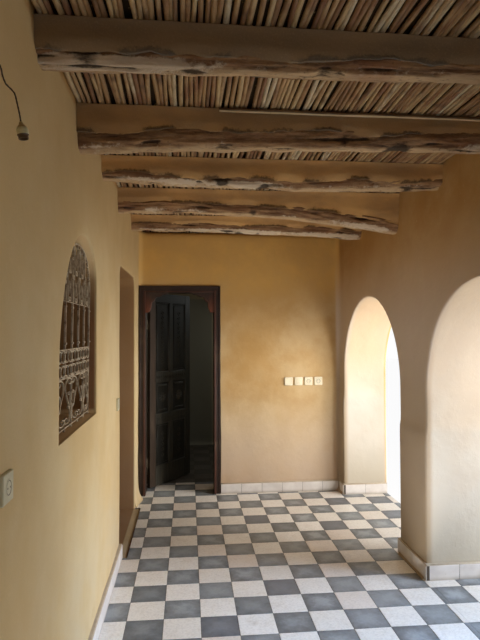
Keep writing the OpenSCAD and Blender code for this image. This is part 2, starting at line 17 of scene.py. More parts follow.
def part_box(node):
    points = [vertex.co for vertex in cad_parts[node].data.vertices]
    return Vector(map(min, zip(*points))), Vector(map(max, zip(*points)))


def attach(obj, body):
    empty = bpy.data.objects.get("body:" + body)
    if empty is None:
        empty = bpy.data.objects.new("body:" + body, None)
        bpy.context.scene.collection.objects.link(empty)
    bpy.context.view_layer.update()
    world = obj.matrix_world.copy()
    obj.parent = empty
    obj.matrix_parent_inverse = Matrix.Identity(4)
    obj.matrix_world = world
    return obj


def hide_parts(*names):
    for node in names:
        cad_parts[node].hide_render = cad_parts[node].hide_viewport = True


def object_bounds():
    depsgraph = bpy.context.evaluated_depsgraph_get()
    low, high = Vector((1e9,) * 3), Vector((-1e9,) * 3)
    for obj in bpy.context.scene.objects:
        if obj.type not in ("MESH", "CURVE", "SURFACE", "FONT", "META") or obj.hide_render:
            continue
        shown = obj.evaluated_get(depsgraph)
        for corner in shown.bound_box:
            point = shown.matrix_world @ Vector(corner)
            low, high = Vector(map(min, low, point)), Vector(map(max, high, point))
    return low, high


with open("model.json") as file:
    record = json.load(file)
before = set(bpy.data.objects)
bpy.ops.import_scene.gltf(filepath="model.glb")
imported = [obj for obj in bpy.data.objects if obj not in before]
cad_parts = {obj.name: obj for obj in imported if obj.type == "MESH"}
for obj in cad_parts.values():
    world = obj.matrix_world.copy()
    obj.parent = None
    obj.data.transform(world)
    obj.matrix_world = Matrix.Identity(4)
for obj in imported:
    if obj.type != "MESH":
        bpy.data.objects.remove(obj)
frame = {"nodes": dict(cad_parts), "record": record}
cad_bounds = [list(corner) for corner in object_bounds()]
cad_low, cad_high = (np.array(corner) for corner in cad_bounds)
print("solid model from", cad_low, "to", cad_high)

# %% [markdown]
# The main levels and faces are read from the boxes of the solids, so the looks
# follow the model if a size changes. Only sizes that no box holds, such as the
# radius of an arch, are written here, in metres.

# %% Faces and levels read from the solids
WINDOW_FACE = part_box("window_wall_near")[1][0]
ARCADE_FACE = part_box("arcade_piers")[0][0]
ENTRANCE_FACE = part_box("entrance_piers")[1][1]
END_FACE, END_BACK = (corner[1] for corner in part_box("end_wall"))
ROOM_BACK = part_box("room_back_wall")[0][1]
BED_LEVEL, FLOOR = (corner[2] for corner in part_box("gallery_floor"))
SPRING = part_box("arch_1")[0][2]
CANE_LEVEL, CANE_TOP = (corner[2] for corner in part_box("cane_ceiling"))
PORTAL_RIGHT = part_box("end_wall")[0][0]
PORTAL_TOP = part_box("end_wall_over_door")[0][2]
ARCH_WIDTH = 1.38
PIER_LENGTH = 0.42
FAR_STUB = 0.15
BAYS = 3
BEAMS_IN_GALLERY = 7
ARCH_FAR = [END_FACE - FAR_STUB - n * (ARCH_WIDTH + PIER_LENGTH) for n in range(BAYS)]
ARC_STEPS = 24


def even(start, stop, count):
    """Evenly spaced values from start to stop, both ends included."""
    return [start + (stop - start) * k / count for k in range(count + 1)]


def turns(count, share=0.0):
    """Angles that share out a full turn, moved on by a share of one step."""
    return [2 * math.pi * (k + share) / count for k in range(count)]


def wobble(*place):
    """Smooth noise between -1 and 1 at a place of three numbers."""
    return noise.noise(Vector(place))


def arc(centre_a, centre_b, radius_a, radius_b, start, stop, steps=ARC_STEPS):
    """Points of an arc in a plane, between two angles in degrees."""
    angles = [math.radians(degrees) for degrees in even(start, stop, steps)]
    return [(centre_a + radius_a * math.cos(a), centre_b + radius_b * math.sin(a)) for a in angles]


print("gallery", round(ARCADE_FACE - WINDOW_FACE, 3), "m wide, arches end at", np.round(ARCH_FAR, 3))

# %% [markdown]
# Shaders are easier to read as sums than as wires. A small class wraps one output
# socket, and its operators add Math nodes, so `1 - mask * 0.5` builds the nodes for
# you. Colours go through a Mix node, because a Math node would turn them grey.

# %% A socket that can be used in sums
class Wire:
    """One output socket. An operator on it adds a Math node and returns its output."""

    def __init__(self, finish, socket):
        self.finish = finish
        self.socket = socket

    def math(self, operation, *others):
        sockets = {i: value for i, value in enumerate((self,) + others)}
        return self.finish.node("ShaderNodeMath", {"operation": operation}, sockets)

    def __add__(self, other):
        return self.math("ADD", other)

    def __sub__(self, other):
        return self.math("SUBTRACT", other)

    def __rsub__(self, other):
        return self.math("MULTIPLY_ADD", -1.0, other)

    def __mul__(self, other):
        return self.math("MULTIPLY", other)

    def __truediv__(self, other):
        return self.math("DIVIDE", other)

    __radd__ = __add__
    __rmul__ = __mul__

    def step(self, low, high, start=0.0, stop=1.0):
        """A smooth ramp from start to stop while the value goes from low to high."""
        settings = {"interpolation_type": "SMOOTHSTEP"}
        sockets = {0: self, 1: low, 2: high, 3: start, 4: stop}
        return self.finish.node("ShaderNodeMapRange", settings, sockets)

    def between(self, low, high, soft):
        """1 from low to high, with a soft border outside that falls to 0."""
        return self.step(low - soft, low) * self.step(high + soft, high)


def tint(red, green, blue):
    """A colour as a screen counts it, 0 to 255, turned by the sRGB curve into light values."""
    light = [c / 255 / 12.92 if c < 10 else ((c / 255 + 0.055) / 1.055) ** 2.4 for c in (red, green, blue)]
    return (*light, 1.0)


# %% A finish, built node by node
class Nodes:
    """An emptied node tree with its output, and one method that adds any node."""

    def __init__(self, tree, output):
        self.tree = tree
        self.tree.nodes.clear()
        self.output = self.tree.nodes.new(output)

    def node(self, kind, settings=None, sockets=None, output=0):
        """Adds a node, sets its settings first, then its sockets by value or by wire."""
        node = self.tree.nodes.new(kind)
        for key, value in (settings or {}).items():
            setattr(node, key, value)
        for key, value in (sockets or {}).items():
            self.feed(node.inputs[key], value)
        return Wire(self, node.outputs[output])

    def feed(self, socket, value):
        if isinstance(value, Wire):
            self.tree.links.new(value.socket, socket)
        else:
            socket.default_value = value

    def show_mixed(self, mask, first, second):
        """Sends two shaders to the output, the second one where the mask is 1."""
        self.feed(self.output.inputs[0], self.node("ShaderNodeMixShader", {}, {0: mask, 1: first, 2: second}))


class Finish(Nodes):
    """A material with one Principled shader, and short calls for the nodes behind it."""

    def __init__(self, name, roughness=0.8, **constants):
        self.material = bpy.data.materials.new(name)
        self.material.use_nodes = True
        super().__init__(self.material.node_tree, "ShaderNodeOutputMaterial")
        self.shader = self.tree.nodes.new("ShaderNodeBsdfPrincipled")
        self.feed(self.output.inputs[0], Wire(self, self.shader.outputs[0]))
        self.shader.inputs["Roughness"].default_value = roughness
        for socket, value in constants.items():
            self.shader.inputs[socket.replace("_", " ")].default_value = value

    def place(self, stretch=(1.0, 1.0, 1.0)):
        """Position on the object in metres, stretched along its axes."""
        position = self.node("ShaderNodeTexCoord", output=3)
        return self.node("ShaderNodeVectorMath", {"operation": "MULTIPLY"}, {0: position, 1: stretch})

    def axis(self, index):
        return self.node("ShaderNodeSeparateXYZ", {}, {0: self.place()}, output=index)

    def mark(self, name):
        """A number that the mesh carries at each corner."""
        return self.node("ShaderNodeAttribute", {"attribute_name": name}, output=2)

    def noise(self, scale, detail=3.0, roughness=0.55, stretch=(1.0, 1.0, 1.0)):
        sockets = {"Vector": self.place(stretch), "Scale": scale, "Detail": detail, "Roughness": roughness}
        return self.node("ShaderNodeTexNoise", {}, sockets)

    def mix(self, factor, first, second):
        return self.node("ShaderNodeMix", {"data_type": "RGBA"}, {0: factor, 6: first, 7: second}, output=2)

    def layers(self, colour, *coats):
        """A colour under coats. Each coat is a mask and the colour that it brings where the mask is 1."""
        for mask, coat in coats:
            colour = self.mix(mask, colour, coat)
        return colour

    def colour(self, wire):
        self.feed(self.shader.inputs["Base Color"], wire)

    def gloss(self, wire):
        self.feed(self.shader.inputs["Roughness"], wire)

    def relief(self, height, distance, strength=1.0):
        """Bump from a height between 0 and 1, as deep as distance in metres."""
        bump = self.node("ShaderNodeBump", {}, {"Strength": strength, "Distance": distance, "Height": height})
        self.feed(self.shader.inputs["Normal"], bump)


# %% [markdown]
# Every mesh is made by a small shape collector. Boxes get chamfered edges, because
# no real edge is perfectly sharp and a chamfer catches a line of light. Tubes sweep
# a ring along a path. The numbers in `marks` stay on the mesh for the shaders. `unit`
# keeps a number between 0 and 1, and `on_axis` places a point along X or along Y.

# %% A collector of points and faces
CHAMFER = 0.0015


def unit(value):
    return min(1.0, max(0.0, value))


def on_axis(axis, along, across, level):
    return (along, across, level) if axis == "X" else (across, along, level)


class Shape:
    """Points, faces and named numbers at the points, gathered into one mesh."""

    def __init__(self):
        self.points = []
        self.faces = []
        self.marks = {}

    def add(self, points, faces, **marks):
        start = len(self.points)
        self.points.extend(tuple(point) for point in points)
        self.faces.extend(tuple(start + i for i in face) for face in faces)
        for name, value in marks.items():
            values = value if isinstance(value, (list, np.ndarray)) else [value] * len(points)
            self.marks.setdefault(name, {}).update({start + i: float(v) for i, v in enumerate(values)})

    def box(self, low, high, chamfer=CHAMFER, **marks):
        """A box with a triangle at each corner and a narrow strip along each edge."""
        corners = [(x, y, z) for x in (0, 1) for y in (0, 1) for z in (0, 1)]
        index = {}
        points = []
        for corner in corners:
            full = [high[k] if corner[k] else low[k] for k in range(3)]
            sunk = [full[k] + (-chamfer if corner[k] else chamfer) for k in range(3)]
            for axis in range(3):
                index[corner, axis] = len(points)
                points.append([full[k] if k == axis else sunk[k] for k in range(3)])

        def corner_at(axis, side, p, q):
            corner = [0, 0, 0]
            corner[axis], corner[(axis + 1) % 3], corner[(axis + 2) % 3] = side, p, q
            return tuple(corner)

        faces = [[index[corner, axis] for axis in range(3)] for corner in corners]
        for axis in range(3):
            for side in (0, 1):
                square = ((0, 0), (1, 0), (1, 1), (0, 1))
                faces.append([index[corner_at(axis, side, p, q), axis] for p, q in square])
            b, c = (axis + 1) % 3, (axis + 2) % 3
            for p, q in ((0, 0), (0, 1), (1, 0), (1, 1)):
                start, stop = corner_at(axis, 0, p, q), corner_at(axis, 1, p, q)
                faces.append([index[start, b], index[stop, b], index[stop, c], index[start, c]])
        self.add(points, faces, **marks)

    def rings(self, rings, **marks):
        """A closed skin over rings that all have the same number of points."""
        count = len(rings[0])
        points = [point for ring in rings for point in ring]
        faces = []
        for row in range(0, (len(rings) - 1) * count, count):
            for i in range(count):
                after = (i + 1) % count
                faces.append((row + i, row + after, row + count + after, row + count + i))
        faces.append(tuple(reversed(range(count))))
        faces.append(tuple((len(rings) - 1) * count + i for i in range(count)))
        self.add(points, faces, **marks)

    def tube(self, path, radius, sides=8, **marks):
        """A round bar along a path. The radius is one number or one for each point."""
        path = [Vector(point) for point in path]
        radii = radius if isinstance(radius, (list, tuple, np.ndarray)) else [radius] * len(path)
        rings = []
        side = None
        for i, point in enumerate(path):
            ahead = (path[min(i + 1, len(path) - 1)] - path[max(i - 1, 0)]).normalized()
            if side is None:
                side = ahead.orthogonal().normalized()
            side = (side - ahead * side.dot(ahead)).normalized()
            up = ahead.cross(side)
            rings.append([point + radii[i] * (side * math.cos(t) + up * math.sin(t)) for t in turns(sides)])
        self.rings(rings, **marks)

    def prism(self, outline, start, stop):
        """An outline in the plane of Y and Z, drawn out along X from start to stop."""
        self.rings([[(x, a, b) for a, b in outline] for x in (start, stop)])

    def mesh(self, name):
        mesh = bpy.data.meshes.new(name)
        mesh.from_pydata(self.points, [], self.faces)
        for mark, values in self.marks.items():
            layer = mesh.attributes.new(mark, "FLOAT", "POINT")
            layer.data.foreach_set("value", [values.get(i, 0.0) for i in range(len(self.points))])
        tidy = bmesh.new()
        tidy.from_mesh(mesh)
        bmesh.ops.recalc_face_normals(tidy, faces=tidy.faces)
        tidy.to_mesh(mesh)
        tidy.free()
        return mesh


SHARP_ANGLE = math.radians(38)


def placed(name, data):
    """A new object of the scene that shows a mesh, a camera or a lamp."""
    obj = bpy.data.objects.new(name, data)
    bpy.context.scene.collection.objects.link(obj)
    return obj


def dress(obj, finish, smooth_all=False):
    """Gives an object its finish, and marks its sharp edges unless all are smooth."""
    obj.data.materials.clear()
    obj.data.materials.append(finish.material)
    obj.data.shade_smooth()
    if not smooth_all:
        obj.data.set_sharp_from_angle(angle=SHARP_ANGLE)


def show(name, shape, finish, stands_for=(), body="root", smooth_all=False):
    """Puts a shape or a mesh in the scene with its finish and its body, and hides the solids that it stands
    for.
    """
    mesh = shape.mesh(name) if isinstance(shape, Shape) else shape
    obj = placed(name, mesh)
    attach(obj, body)
    dress(obj, finish, smooth_all)
    if stands_for:
        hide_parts(*stands_for)
    print(name, "has", sum(len(face.vertices) - 2 for face in mesh.polygons), "triangles")
    return obj


# %% [markdown]
# Earthen plaster is mud, sand and chopped straw, spread by hand. Three things make
# it: broad patches where one batch dried lighter than the next, faint sweeps of the
# trowel, and fine grit. Near the ground it is paler and dustier, rain leaves soft
# streaks under a parapet, and towards the ceiling the wall is darkened by painted shade.
# All of it is noise at different sizes, laid coat by coat. Over it come more coats,
# each in a mask that is worked out from the walls. Some are tones of the walls, and many
# are painted light and shade: sunlit and skylit arch reveals, the shaded arcade face,
# the side doorway's reveals and the dark portal. The outer faces keep the plain coat.

# %% Plaster finish
PALE, OCHRE, BROWN = tint(222, 199, 158), tint(208, 170, 114), tint(182, 146, 100)
STAIN, LOWEST_SHADE, PORTAL_SHADE = tint(140, 108, 74), tint(146, 128, 100), tint(60, 50, 40)
UPPER_SHADE, CEILING_SHADE, STRAW = tint(204, 162, 96), tint(172, 126, 68), tint(228, 210, 164)
DUST, SUNLIT_PALE, SKYLIT_GREY = tint(212, 200, 182), tint(232, 227, 217), tint(204, 200, 190)
SHADED, LOWER_SHADE, ROOM_TONE = tint(208, 194, 180), tint(172, 156, 138), tint(158, 156, 140)
GOLD, AMBER, ROSE = tint(178, 138, 78), tint(240, 192, 108), tint(190, 164, 142)
OLIVE, FOOT_TONE, REVEAL_TOP = tint(208, 190, 144), tint(188, 178, 154), tint(206, 166, 112)
REVEAL_BROWN, REVEAL_RED, REVEAL_SILL = tint(142, 104, 68), tint(120, 70, 54), tint(226, 196, 148)
REVEAL_EDGE = 0.006
WINDOW_BORDER, DOORWAY_BORDER = 0.03, 0.05
OUTER_SKIN = 0.03
ROOF_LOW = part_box("roof_earth")[0][2]


def plaster_finish():
    f = Finish("earthen plaster", roughness=0.93, Specular_IOR_Level=0.2)
    batches = f.noise(0.9, 4, 0.6).step(0.38, 0.66)
    clouds = f.noise(3.1, 5, 0.62).step(0.35, 0.75)
    sweeps = f.noise(5.5, 5, 0.62, (1.0, 1.0, 0.75)).step(0.42, 0.7)
    grit = f.noise(160.0, 2, 0.6)
    straw = f.noise(75.0, 3, 0.5, (1.0, 1.0, 0.3)).step(0.66, 0.74)
    across, along, height = f.axis(0), f.axis(1), f.axis(2)
    dust = height.step(1.25, 0.2) * f.noise(2.3, 4).step(0.25, 0.65)
    foot = height.step(0.42, 0.22) * f.noise(6.0, 5, 0.65).step(0.45, 0.72)
    streaks = f.noise(9.0, 3, 0.6, (1.0, 1.0, 0.06)).step(0.55, 0.78) * height.step(2.3, 3.1)
    plain = f.layers(
        OCHRE,
        (batches, PALE),
        (clouds * 0.4, BROWN),
        (sweeps * 0.22, PALE),
        # The next two coats darken the wall towards the ceiling: painted shade.
        (height.step(1.5, 2.6) * (0.55 + clouds * 0.3), UPPER_SHADE),
        (height.step(2.05, 2.5) * (0.3 + clouds * 0.25), CEILING_SHADE),
        (dust * 0.6, DUST),
        (foot * 0.3, STAIN),
        (streaks * 0.55, STAIN),
        (straw * 0.3, STRAW),
        ((grit - 0.5) * 0.35 + 0.12, STAIN))

    in_arches = across.step(ARCADE_FACE + 0.005, ARCADE_FACE + 0.05) * (0.5 + batches * 0.25)
    first_reveal = in_arches * along.step(0.6, 1.0) * height.step(1.0, 1.6)

    window_low, window_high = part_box("window_wall_below")
    doorway_low, doorway_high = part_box("side_doorway_head")
    inside = across.step(WINDOW_FACE - REVEAL_EDGE, WINDOW_FACE - 3 * REVEAL_EDGE)
    in_window = along.between(window_low[1], window_high[1], WINDOW_BORDER)
    in_doorway = along.between(doorway_low[1], doorway_high[1], DOORWAY_BORDER)
    # The window's reveal below its arch and the side doorway's reveals turn brown; on the doorway this is
    # painted shade.
    brown_and_shaded_reveals = inside * (in_window * height.step(2.12, 1.85) * 0.8 + in_doorway * 0.8)
    red_edge = inside * in_window * height.step(2.05, 1.6)
    red_edge = red_edge * across.step(WINDOW_FACE - 0.075, WINDOW_FACE - 0.02)
    sill = inside * in_window * height.step(window_high[2] + 0.03, window_high[2] + 0.012)
    by_window = across.step(WINDOW_FACE + 0.06, WINDOW_FACE + 0.02) * (1 - inside)

    at_end = along.step(END_FACE - 0.06, END_FACE - 0.02)
    # The arcade face gets a shaded copy of the plaster that grows darker downwards: painted shade.
    shaded = across.step(ARCADE_FACE - 0.05, ARCADE_FACE - 0.02) * height.step(2.5, 1.7)
    shaded_tone = f.mix(height.step(1.75, 1.1), SHADED, LOWER_SHADE)
    shaded_tone = f.mix(height.step(0.8, 0.2) * 0.6, shaded_tone, LOWEST_SHADE)
    # Behind the door frame the portal's side is darkened almost to black: painted shade.
    in_portal = along.step(END_FACE + 0.02, END_FACE + 0.05) * height.step(PORTAL_TOP + 0.03, PORTAL_TOP)
    in_portal = in_portal * across.step(PORTAL_RIGHT + 0.03, PORTAL_RIGHT)
    in_portal = in_portal * across.step(WINDOW_FACE - 0.04, WINDOW_FACE - 0.01)

    outside = height.step(ROOF_LOW - 0.06, ROOF_LOW - 0.03)
    for n, wide in ((0, across), (1, along)):
        outside = outside.math("MAXIMUM", wide.step(cad_low[n] + OUTER_SKIN, cad_low[n] + OUTER_SKIN / 2))
        outside = outside.math("MAXIMUM", wide.step(cad_high[n] - OUTER_SKIN, cad_high[n] - OUTER_SKIN / 2))
    f.colour(f.layers(
        plain,
        # In the arch reveals a near-white coat is painted sunlight, and the cool grey below it is painted
        # skylight.
        (in_arches * height.step(2.1, 1.3, 0.45, 1.0), SUNLIT_PALE),
        (first_reveal * 0.9, REVEAL_TOP),
        (in_arches * height.step(1.12, 1.05) * 0.8, SKYLIT_GREY),
        (in_arches * height.step(0.8, 0.2) * 0.7, FOOT_TONE),
        (brown_and_shaded_reveals, REVEAL_BROWN),
        (red_edge * (0.35 + clouds * 0.3), REVEAL_RED),
        (sill * 0.9, REVEAL_SILL),
        (by_window * 0.45, OLIVE),
        (at_end * height.step(FLOOR + 0.4, FLOOR + 1.2) * (0.4 + clouds * 0.3), GOLD),
        (at_end * height.step(1.9, 2.35) * (0.35 + clouds * 0.3), AMBER),
        (at_end * height.step(FLOOR + 1.0, FLOOR + 0.15) * 0.6, ROSE),
        (shaded * (1 - in_arches) * 0.85, shaded_tone),
        (in_portal * 0.9, PORTAL_SHADE),
        (along.step(END_BACK - 0.05, END_BACK) * 0.7, ROOM_TONE),
        (outside, plain)))
    f.relief(sweeps * 0.5 + f.noise(24.0, 4, 0.6) * 0.35 + grit * 0.15 + straw * 0.1, 0.004, 0.6)
    return f


PLASTER = plaster_finish()

# %% [markdown]
# The walls of an adobe house are one mass of earth, so the whole shell is modelled
# as one solid and not wall by wall. A block the size of the building is hollowed
# with Boolean cuts. A voxel remesh then gives it an even skin, smoothing rounds each
# corner as a hand would, and noise moves the skin by a few millimetres.

# %% Hollow the block and give it an even skin
VOXEL = 0.03
SMOOTH_ROUNDS = 4
SHELL_TRIANGLES = 225000
CUT = 0.05
HAIR = 0.0001


def baked(obj):
    """The mesh with all its modifiers applied."""
    bpy.context.view_layer.update()
    graph = bpy.context.evaluated_depsgraph_get()
    return bpy.data.meshes.new_from_object(obj.evaluated_get(graph), depsgraph=graph)


def cut_away(body, cutter_shapes):
    """Takes closed shapes out of a body with one exact Boolean each, and returns the mesh."""
    helpers = []
    for i, cutter in enumerate(cutter_shapes):
        helpers.append(placed("cut", cutter.mesh("cut")))
        modifier = body.modifiers.new("cut %d" % i, "BOOLEAN")
        modifier.object = helpers[-1]
        modifier.operation = "DIFFERENCE"
        modifier.solver = "EXACT"
    mesh = baked(body)
    for helper in helpers + [body]:
        bpy.data.objects.remove(helper)
    return mesh


def box_shape(low, high):
    shape = Shape()
    shape.box(low, high, HAIR)
    return shape


block = placed("block", box_shape(cad_low, cad_high).mesh("block"))
hollow = cut_away(block, [
    box_shape((WINDOW_FACE, ENTRANCE_FACE, BED_LEVEL), (ARCADE_FACE, END_FACE, CANE_LEVEL + CUT)),
    box_shape((WINDOW_FACE, END_BACK, BED_LEVEL), (ARCADE_FACE, ROOM_BACK, CANE_LEVEL + CUT)),
    box_shape((WINDOW_FACE, ENTRANCE_FACE, CANE_LEVEL), (ARCADE_FACE, ROOM_BACK, cad_high[2] + CUT))])
body = placed("body", hollow)
remesh = body.modifiers.new("skin", "REMESH")
remesh.mode = "VOXEL"
remesh.voxel_size = VOXEL
smooth = body.modifiers.new("soften", "SMOOTH")
smooth.factor = 0.5
smooth.iterations = SMOOTH_ROUNDS
skin = baked(body)
bpy.data.objects.remove(body)
print("skin with", len(skin.polygons), "faces")

# %% [markdown]
# A hand-spread wall is never flat, but its unevenness is slow: long waves of several
# millimetres, and short ripples of a few. Two more coats are thicker on the real wall:
# the dado of the arcade, and the foot of the window side next to the end door.

# %% Give the plaster its unevenness
WAVE, RIPPLE = 0.0065, 0.0022
WALL_WAVE, WALL_RIPPLE = 1.1, 6.0
WAVE_SINK = 0.35
SEED_SHIFT = Vector((3.7, 1.9, 5.3))
DADO_TOP = FLOOR + 0.95
DADO, DADO_FADE, DADO_DEPTH = 0.008, 0.06, 0.1
FLARE_TOP = FLOOR + 0.14
FLARE, FLARE_REACH, FLARE_FADE = 0.018, 0.33, 0.2
TO_WINDOW_SIDE, TO_ARCADE = -0.6, 0.3
NEAR_FACE = 0.06
KEPT_INSIDE = 0.0005


def waves(point):
    place = Vector(point) + SEED_SHIFT
    return WAVE * noise.noise(place * WALL_WAVE) + RIPPLE * noise.noise(place * WALL_RIPPLE)


def uneven(mesh):
    """Moves the skin in and out by slow waves, and never out of the solid's box."""
    points = np.array([vertex.co for vertex in mesh.vertices])
    normals = np.array([vertex.normal for vertex in mesh.vertices])
    across, along, level = points.T
    shift = np.array([waves(point) for point in points]) - WAVE * WAVE_SINK
    arcade = (across > ARCADE_FACE / 2) & (across < ARCADE_FACE + NEAR_FACE)
    arcade = arcade & (normals[:, 0] < TO_WINDOW_SIDE)
    shift += np.where(arcade, DADO * np.clip((DADO_TOP - level) / DADO_FADE, 0, 1), 0)
    by_door = (across < WINDOW_FACE + NEAR_FACE) & (along > END_FACE - FLARE_REACH) & (along < END_FACE)
    rise = np.clip((FLARE_TOP - level) / (FLARE_TOP - FLOOR), 0, 1) ** 1.5
    fade_in = np.clip((along - END_FACE + FLARE_REACH) / FLARE_FADE, 0, 1)
    shift += np.where(by_door & (normals[:, 0] > TO_ARCADE), FLARE * rise * fade_in, 0)
    points = np.clip(points + normals * shift[:, None], cad_low + KEPT_INSIDE, cad_high - KEPT_INSIDE)
    mesh.vertices.foreach_set("co", points.ravel())
    mesh.update()


uneven(skin)
thin = placed("thin", skin)
thinning = thin.modifiers.new("thin", "DECIMATE")
thinning.ratio = min(1.0, SHELL_TRIANGLES / (2 * len(skin.polygons)))
skin = baked(thin)
bpy.data.objects.remove(thin)
print("thinned to", len(skin.polygons), "faces")

# %% [markdown]
# Openings are cut after the smoothing, so that each edge keeps the radius it has on
# the real wall: a hand's width on an arch, almost sharp at the window. The cutter is
# a loft that flares at both wall faces. Subtracting it leaves a rounded arris, and
# noise on the loft makes the reveal as uneven as the walls.

# %% Lofted cutters with flared ends
ARCH_EDGE, DOORWAY_EDGE, WINDOW_EDGE, PORTAL_EDGE = 0.014, 0.012, 0.006, 0.003
REVEAL_STEP = 0.045
REVEAL_WAVE = 1.3
FLARE_STEPS = 5
WINDOW_APEX = 0.53
WINDOW_TOP = FLOOR + 2.02
WINDOW_RISE_NEAR = 0.65
WINDOW_RISE_FAR = 0.2
DOORWAY_TOP = FLOOR + 2.04
DOORWAY_ROUND = 0.09
DOORWAY_STEPS, ARCH_STEPS = 8, 48
SOFFIT_DROP = 0.045
SOFFIT_DEPTH = 0.06


def lowered(points, drop=SOFFIT_DROP):
    """The window's outline with its arch pressed down, as it is where the grille stands."""
    spring = WINDOW_TOP - WINDOW_RISE_NEAR
    keep = 1 - drop / WINDOW_RISE_NEAR
    return [(a, b if b < spring else spring + (b - spring) * keep) for a, b in points]


def window_outline(gap=0.0, foot=0.0):
    low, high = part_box("window_wall_below")
    apex = low[1] + WINDOW_APEX
    near, far = WINDOW_APEX - gap, high[1] - apex - gap
    outline = [(low[1] + gap, high[2] + foot)]
    outline += arc(apex, WINDOW_TOP - WINDOW_RISE_NEAR, near, WINDOW_RISE_NEAR - gap, 180, 90)
    outline += arc(apex, WINDOW_TOP - WINDOW_RISE_FAR, far, WINDOW_RISE_FAR - gap, 87, 0)
    return outline + [(high[1] - gap, high[2] + foot)]


def doorway_outline(foot):
    low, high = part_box("side_doorway_head")
    r = DOORWAY_ROUND
    outline = [(low[1], foot)] + arc(low[1] + r, DOORWAY_TOP - r, r, r, 180, 90, DOORWAY_STEPS)
    return outline + arc(high[1] - r, DOORWAY_TOP - r, r, r, 90, 0, DOORWAY_STEPS) + [(high[1], foot)]


def arch_outline(middle):
    r = ARCH_WIDTH / 2
    outline = [(middle - r, BED_LEVEL)] + arc(middle, SPRING, r, r, 180, 0, ARCH_STEPS)
    return outline + [(middle + r, BED_LEVEL)]


def denser(outline):
    """The same outline with extra points, none further apart than a step."""
    points = []
    for (a0, b0), (a1, b1) in zip(outline, outline[1:] + outline[:1]):
        pieces = max(1, math.ceil(math.hypot(a1 - a0, b1 - b0) / REVEAL_STEP))
        points += [(a0 + (a1 - a0) * k / pieces, b0 + (b1 - b0) * k / pieces) for k in range(pieces)]
    return points


def outward(points):
    """Unit directions out of a closed outline, never pointing down."""
    count = len(points)
    area = sum(points[i - 1][0] * points[i][1] - points[i][0] * points[i - 1][1] for i in range(count))
    sign = 1 if area > 0 else -1
    result = []
    for i in range(count):
        da = points[(i + 1) % count][0] - points[i - 1][0]
        db = points[(i + 1) % count][1] - points[i - 1][1]
        length = math.hypot(da, db) or 1.0
        result.append((sign * db / length, max(0.0, -sign * da / length)))
    return result


def loft_cutter(outline, axis, start, stop, edge, seed, drop=0.0, dado=0.0):
    """A closed loft of an outline along an axis, wider by an edge at both wall faces."""
    points = denser(outline)
    normals = outward(points)
    foot = min(b for a, b in points)
    stations = [(start - CUT, edge), (start, edge)]
    for k in range(1, FLARE_STEPS + 1):
        inside = edge * k / FLARE_STEPS
        stations.append((start + inside, edge - math.sqrt(max(0.0, edge ** 2 - (edge - inside) ** 2))))
    length = stop - start - 2 * edge
    count = max(1, round(length / REVEAL_STEP))
    stations += [(start + edge + length * k / count, 0.0) for k in range(1, count)]
    stations += [(start + stop - s, grow) for s, grow in reversed(stations[:2 + FLARE_STEPS])]
    rings = []
    for along, grow in stations:
        ring = []
        sunk = lowered(points, drop * unit((stop - along) / SOFFIT_DEPTH))
        for (a, b), (na, nb) in zip(sunk, normals):
            x, y, z = on_axis(axis, along, a, b)
            move = grow + REVEAL_WAVE * waves((x + seed, y, z)) if (na or nb) else 0.0
            ahead = dado * unit((DADO_TOP - b) / DADO_FADE) * unit(1 - (along - start) / DADO_DEPTH)
            ring.append(on_axis(axis, along - ahead, a + na * move, max(foot, b + nb * move)))
        rings.append(ring)
    cutter = Shape()
    cutter.rings(rings)
    return cutter


openings = []
for n, far in enumerate(ARCH_FAR):
    outline = arch_outline(far - ARCH_WIDTH / 2)
    openings.append(loft_cutter(outline, "X", ARCADE_FACE, cad_high[0], ARCH_EDGE, n, dado=DADO))
openings.append(loft_cutter(arch_outline(0.0), "Y", cad_low[1], ENTRANCE_FACE, ARCH_EDGE, 5.0))
openings.append(loft_cutter(window_outline(), "X", cad_low[0], WINDOW_FACE, WINDOW_EDGE, 7.0, SOFFIT_DROP))
STEP_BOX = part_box("side_door_step")
doorway = doorway_outline(STEP_BOX[1][2])
openings.append(loft_cutter(doorway, "X", cad_low[0], WINDOW_FACE, DOORWAY_EDGE, 9.0))
portal = [(WINDOW_FACE - 0.001, BED_LEVEL), (WINDOW_FACE - 0.001, PORTAL_TOP),
          (PORTAL_RIGHT, PORTAL_TOP), (PORTAL_RIGHT, BED_LEVEL)]
openings.append(loft_cutter(portal, "Y", END_FACE, END_BACK, PORTAL_EDGE, 11.0))
shell = cut_away(placed("shell", skin), openings)
print("shell with", len(shell.polygons), "faces")

# %% Split the shell behind the end wall's face, where no seam shows
SPLIT = END_FACE + 0.2


def part_of(mesh, name, room):
    part = bmesh.new()
    part.from_mesh(mesh)
    wrong = [face for face in part.faces if (face.calc_center_median().y > SPLIT) != room]
    bmesh.ops.delete(part, geom=wrong, context="FACES")
    result = bpy.data.meshes.new(name)
    part.to_mesh(result)
    part.free()
    return result


GALLERY_WALLS = (
    "base", "window_wall_near", "window_wall_below", "window_wall_above", "window_wall_middle",
    "side_doorway_head", "window_wall_far", "wall_head_window_side", "wall_head_arcade_side", "arcade_piers",
    "arch_1", "arch_2", "arch_3", "entrance_piers", "entrance_arch", "parapet_entrance", "end_wall",
    "end_wall_over_door")
ROOM_WALLS = ("room_side_walls", "room_back_wall", "parapet_room")
show("gallery_walls", part_of(shell, "gallery_walls", False), PLASTER, GALLERY_WALLS)
show("room_walls", part_of(shell, "room_walls", True), PLASTER, ROOM_WALLS)

# %% [markdown]
# Cement tiles are pressed, not fired, so their colour goes right through and wears
# into cloudy patches. The checks come from the tile's row and column: their sum is
# even on a dark tile. White noise read at the same whole numbers gives each tile
# its own shade, so no two are quite alike.

# %% Floor tile finish
TILE = 0.2
GRID_X = 0.845
GRID_Y = 1.455


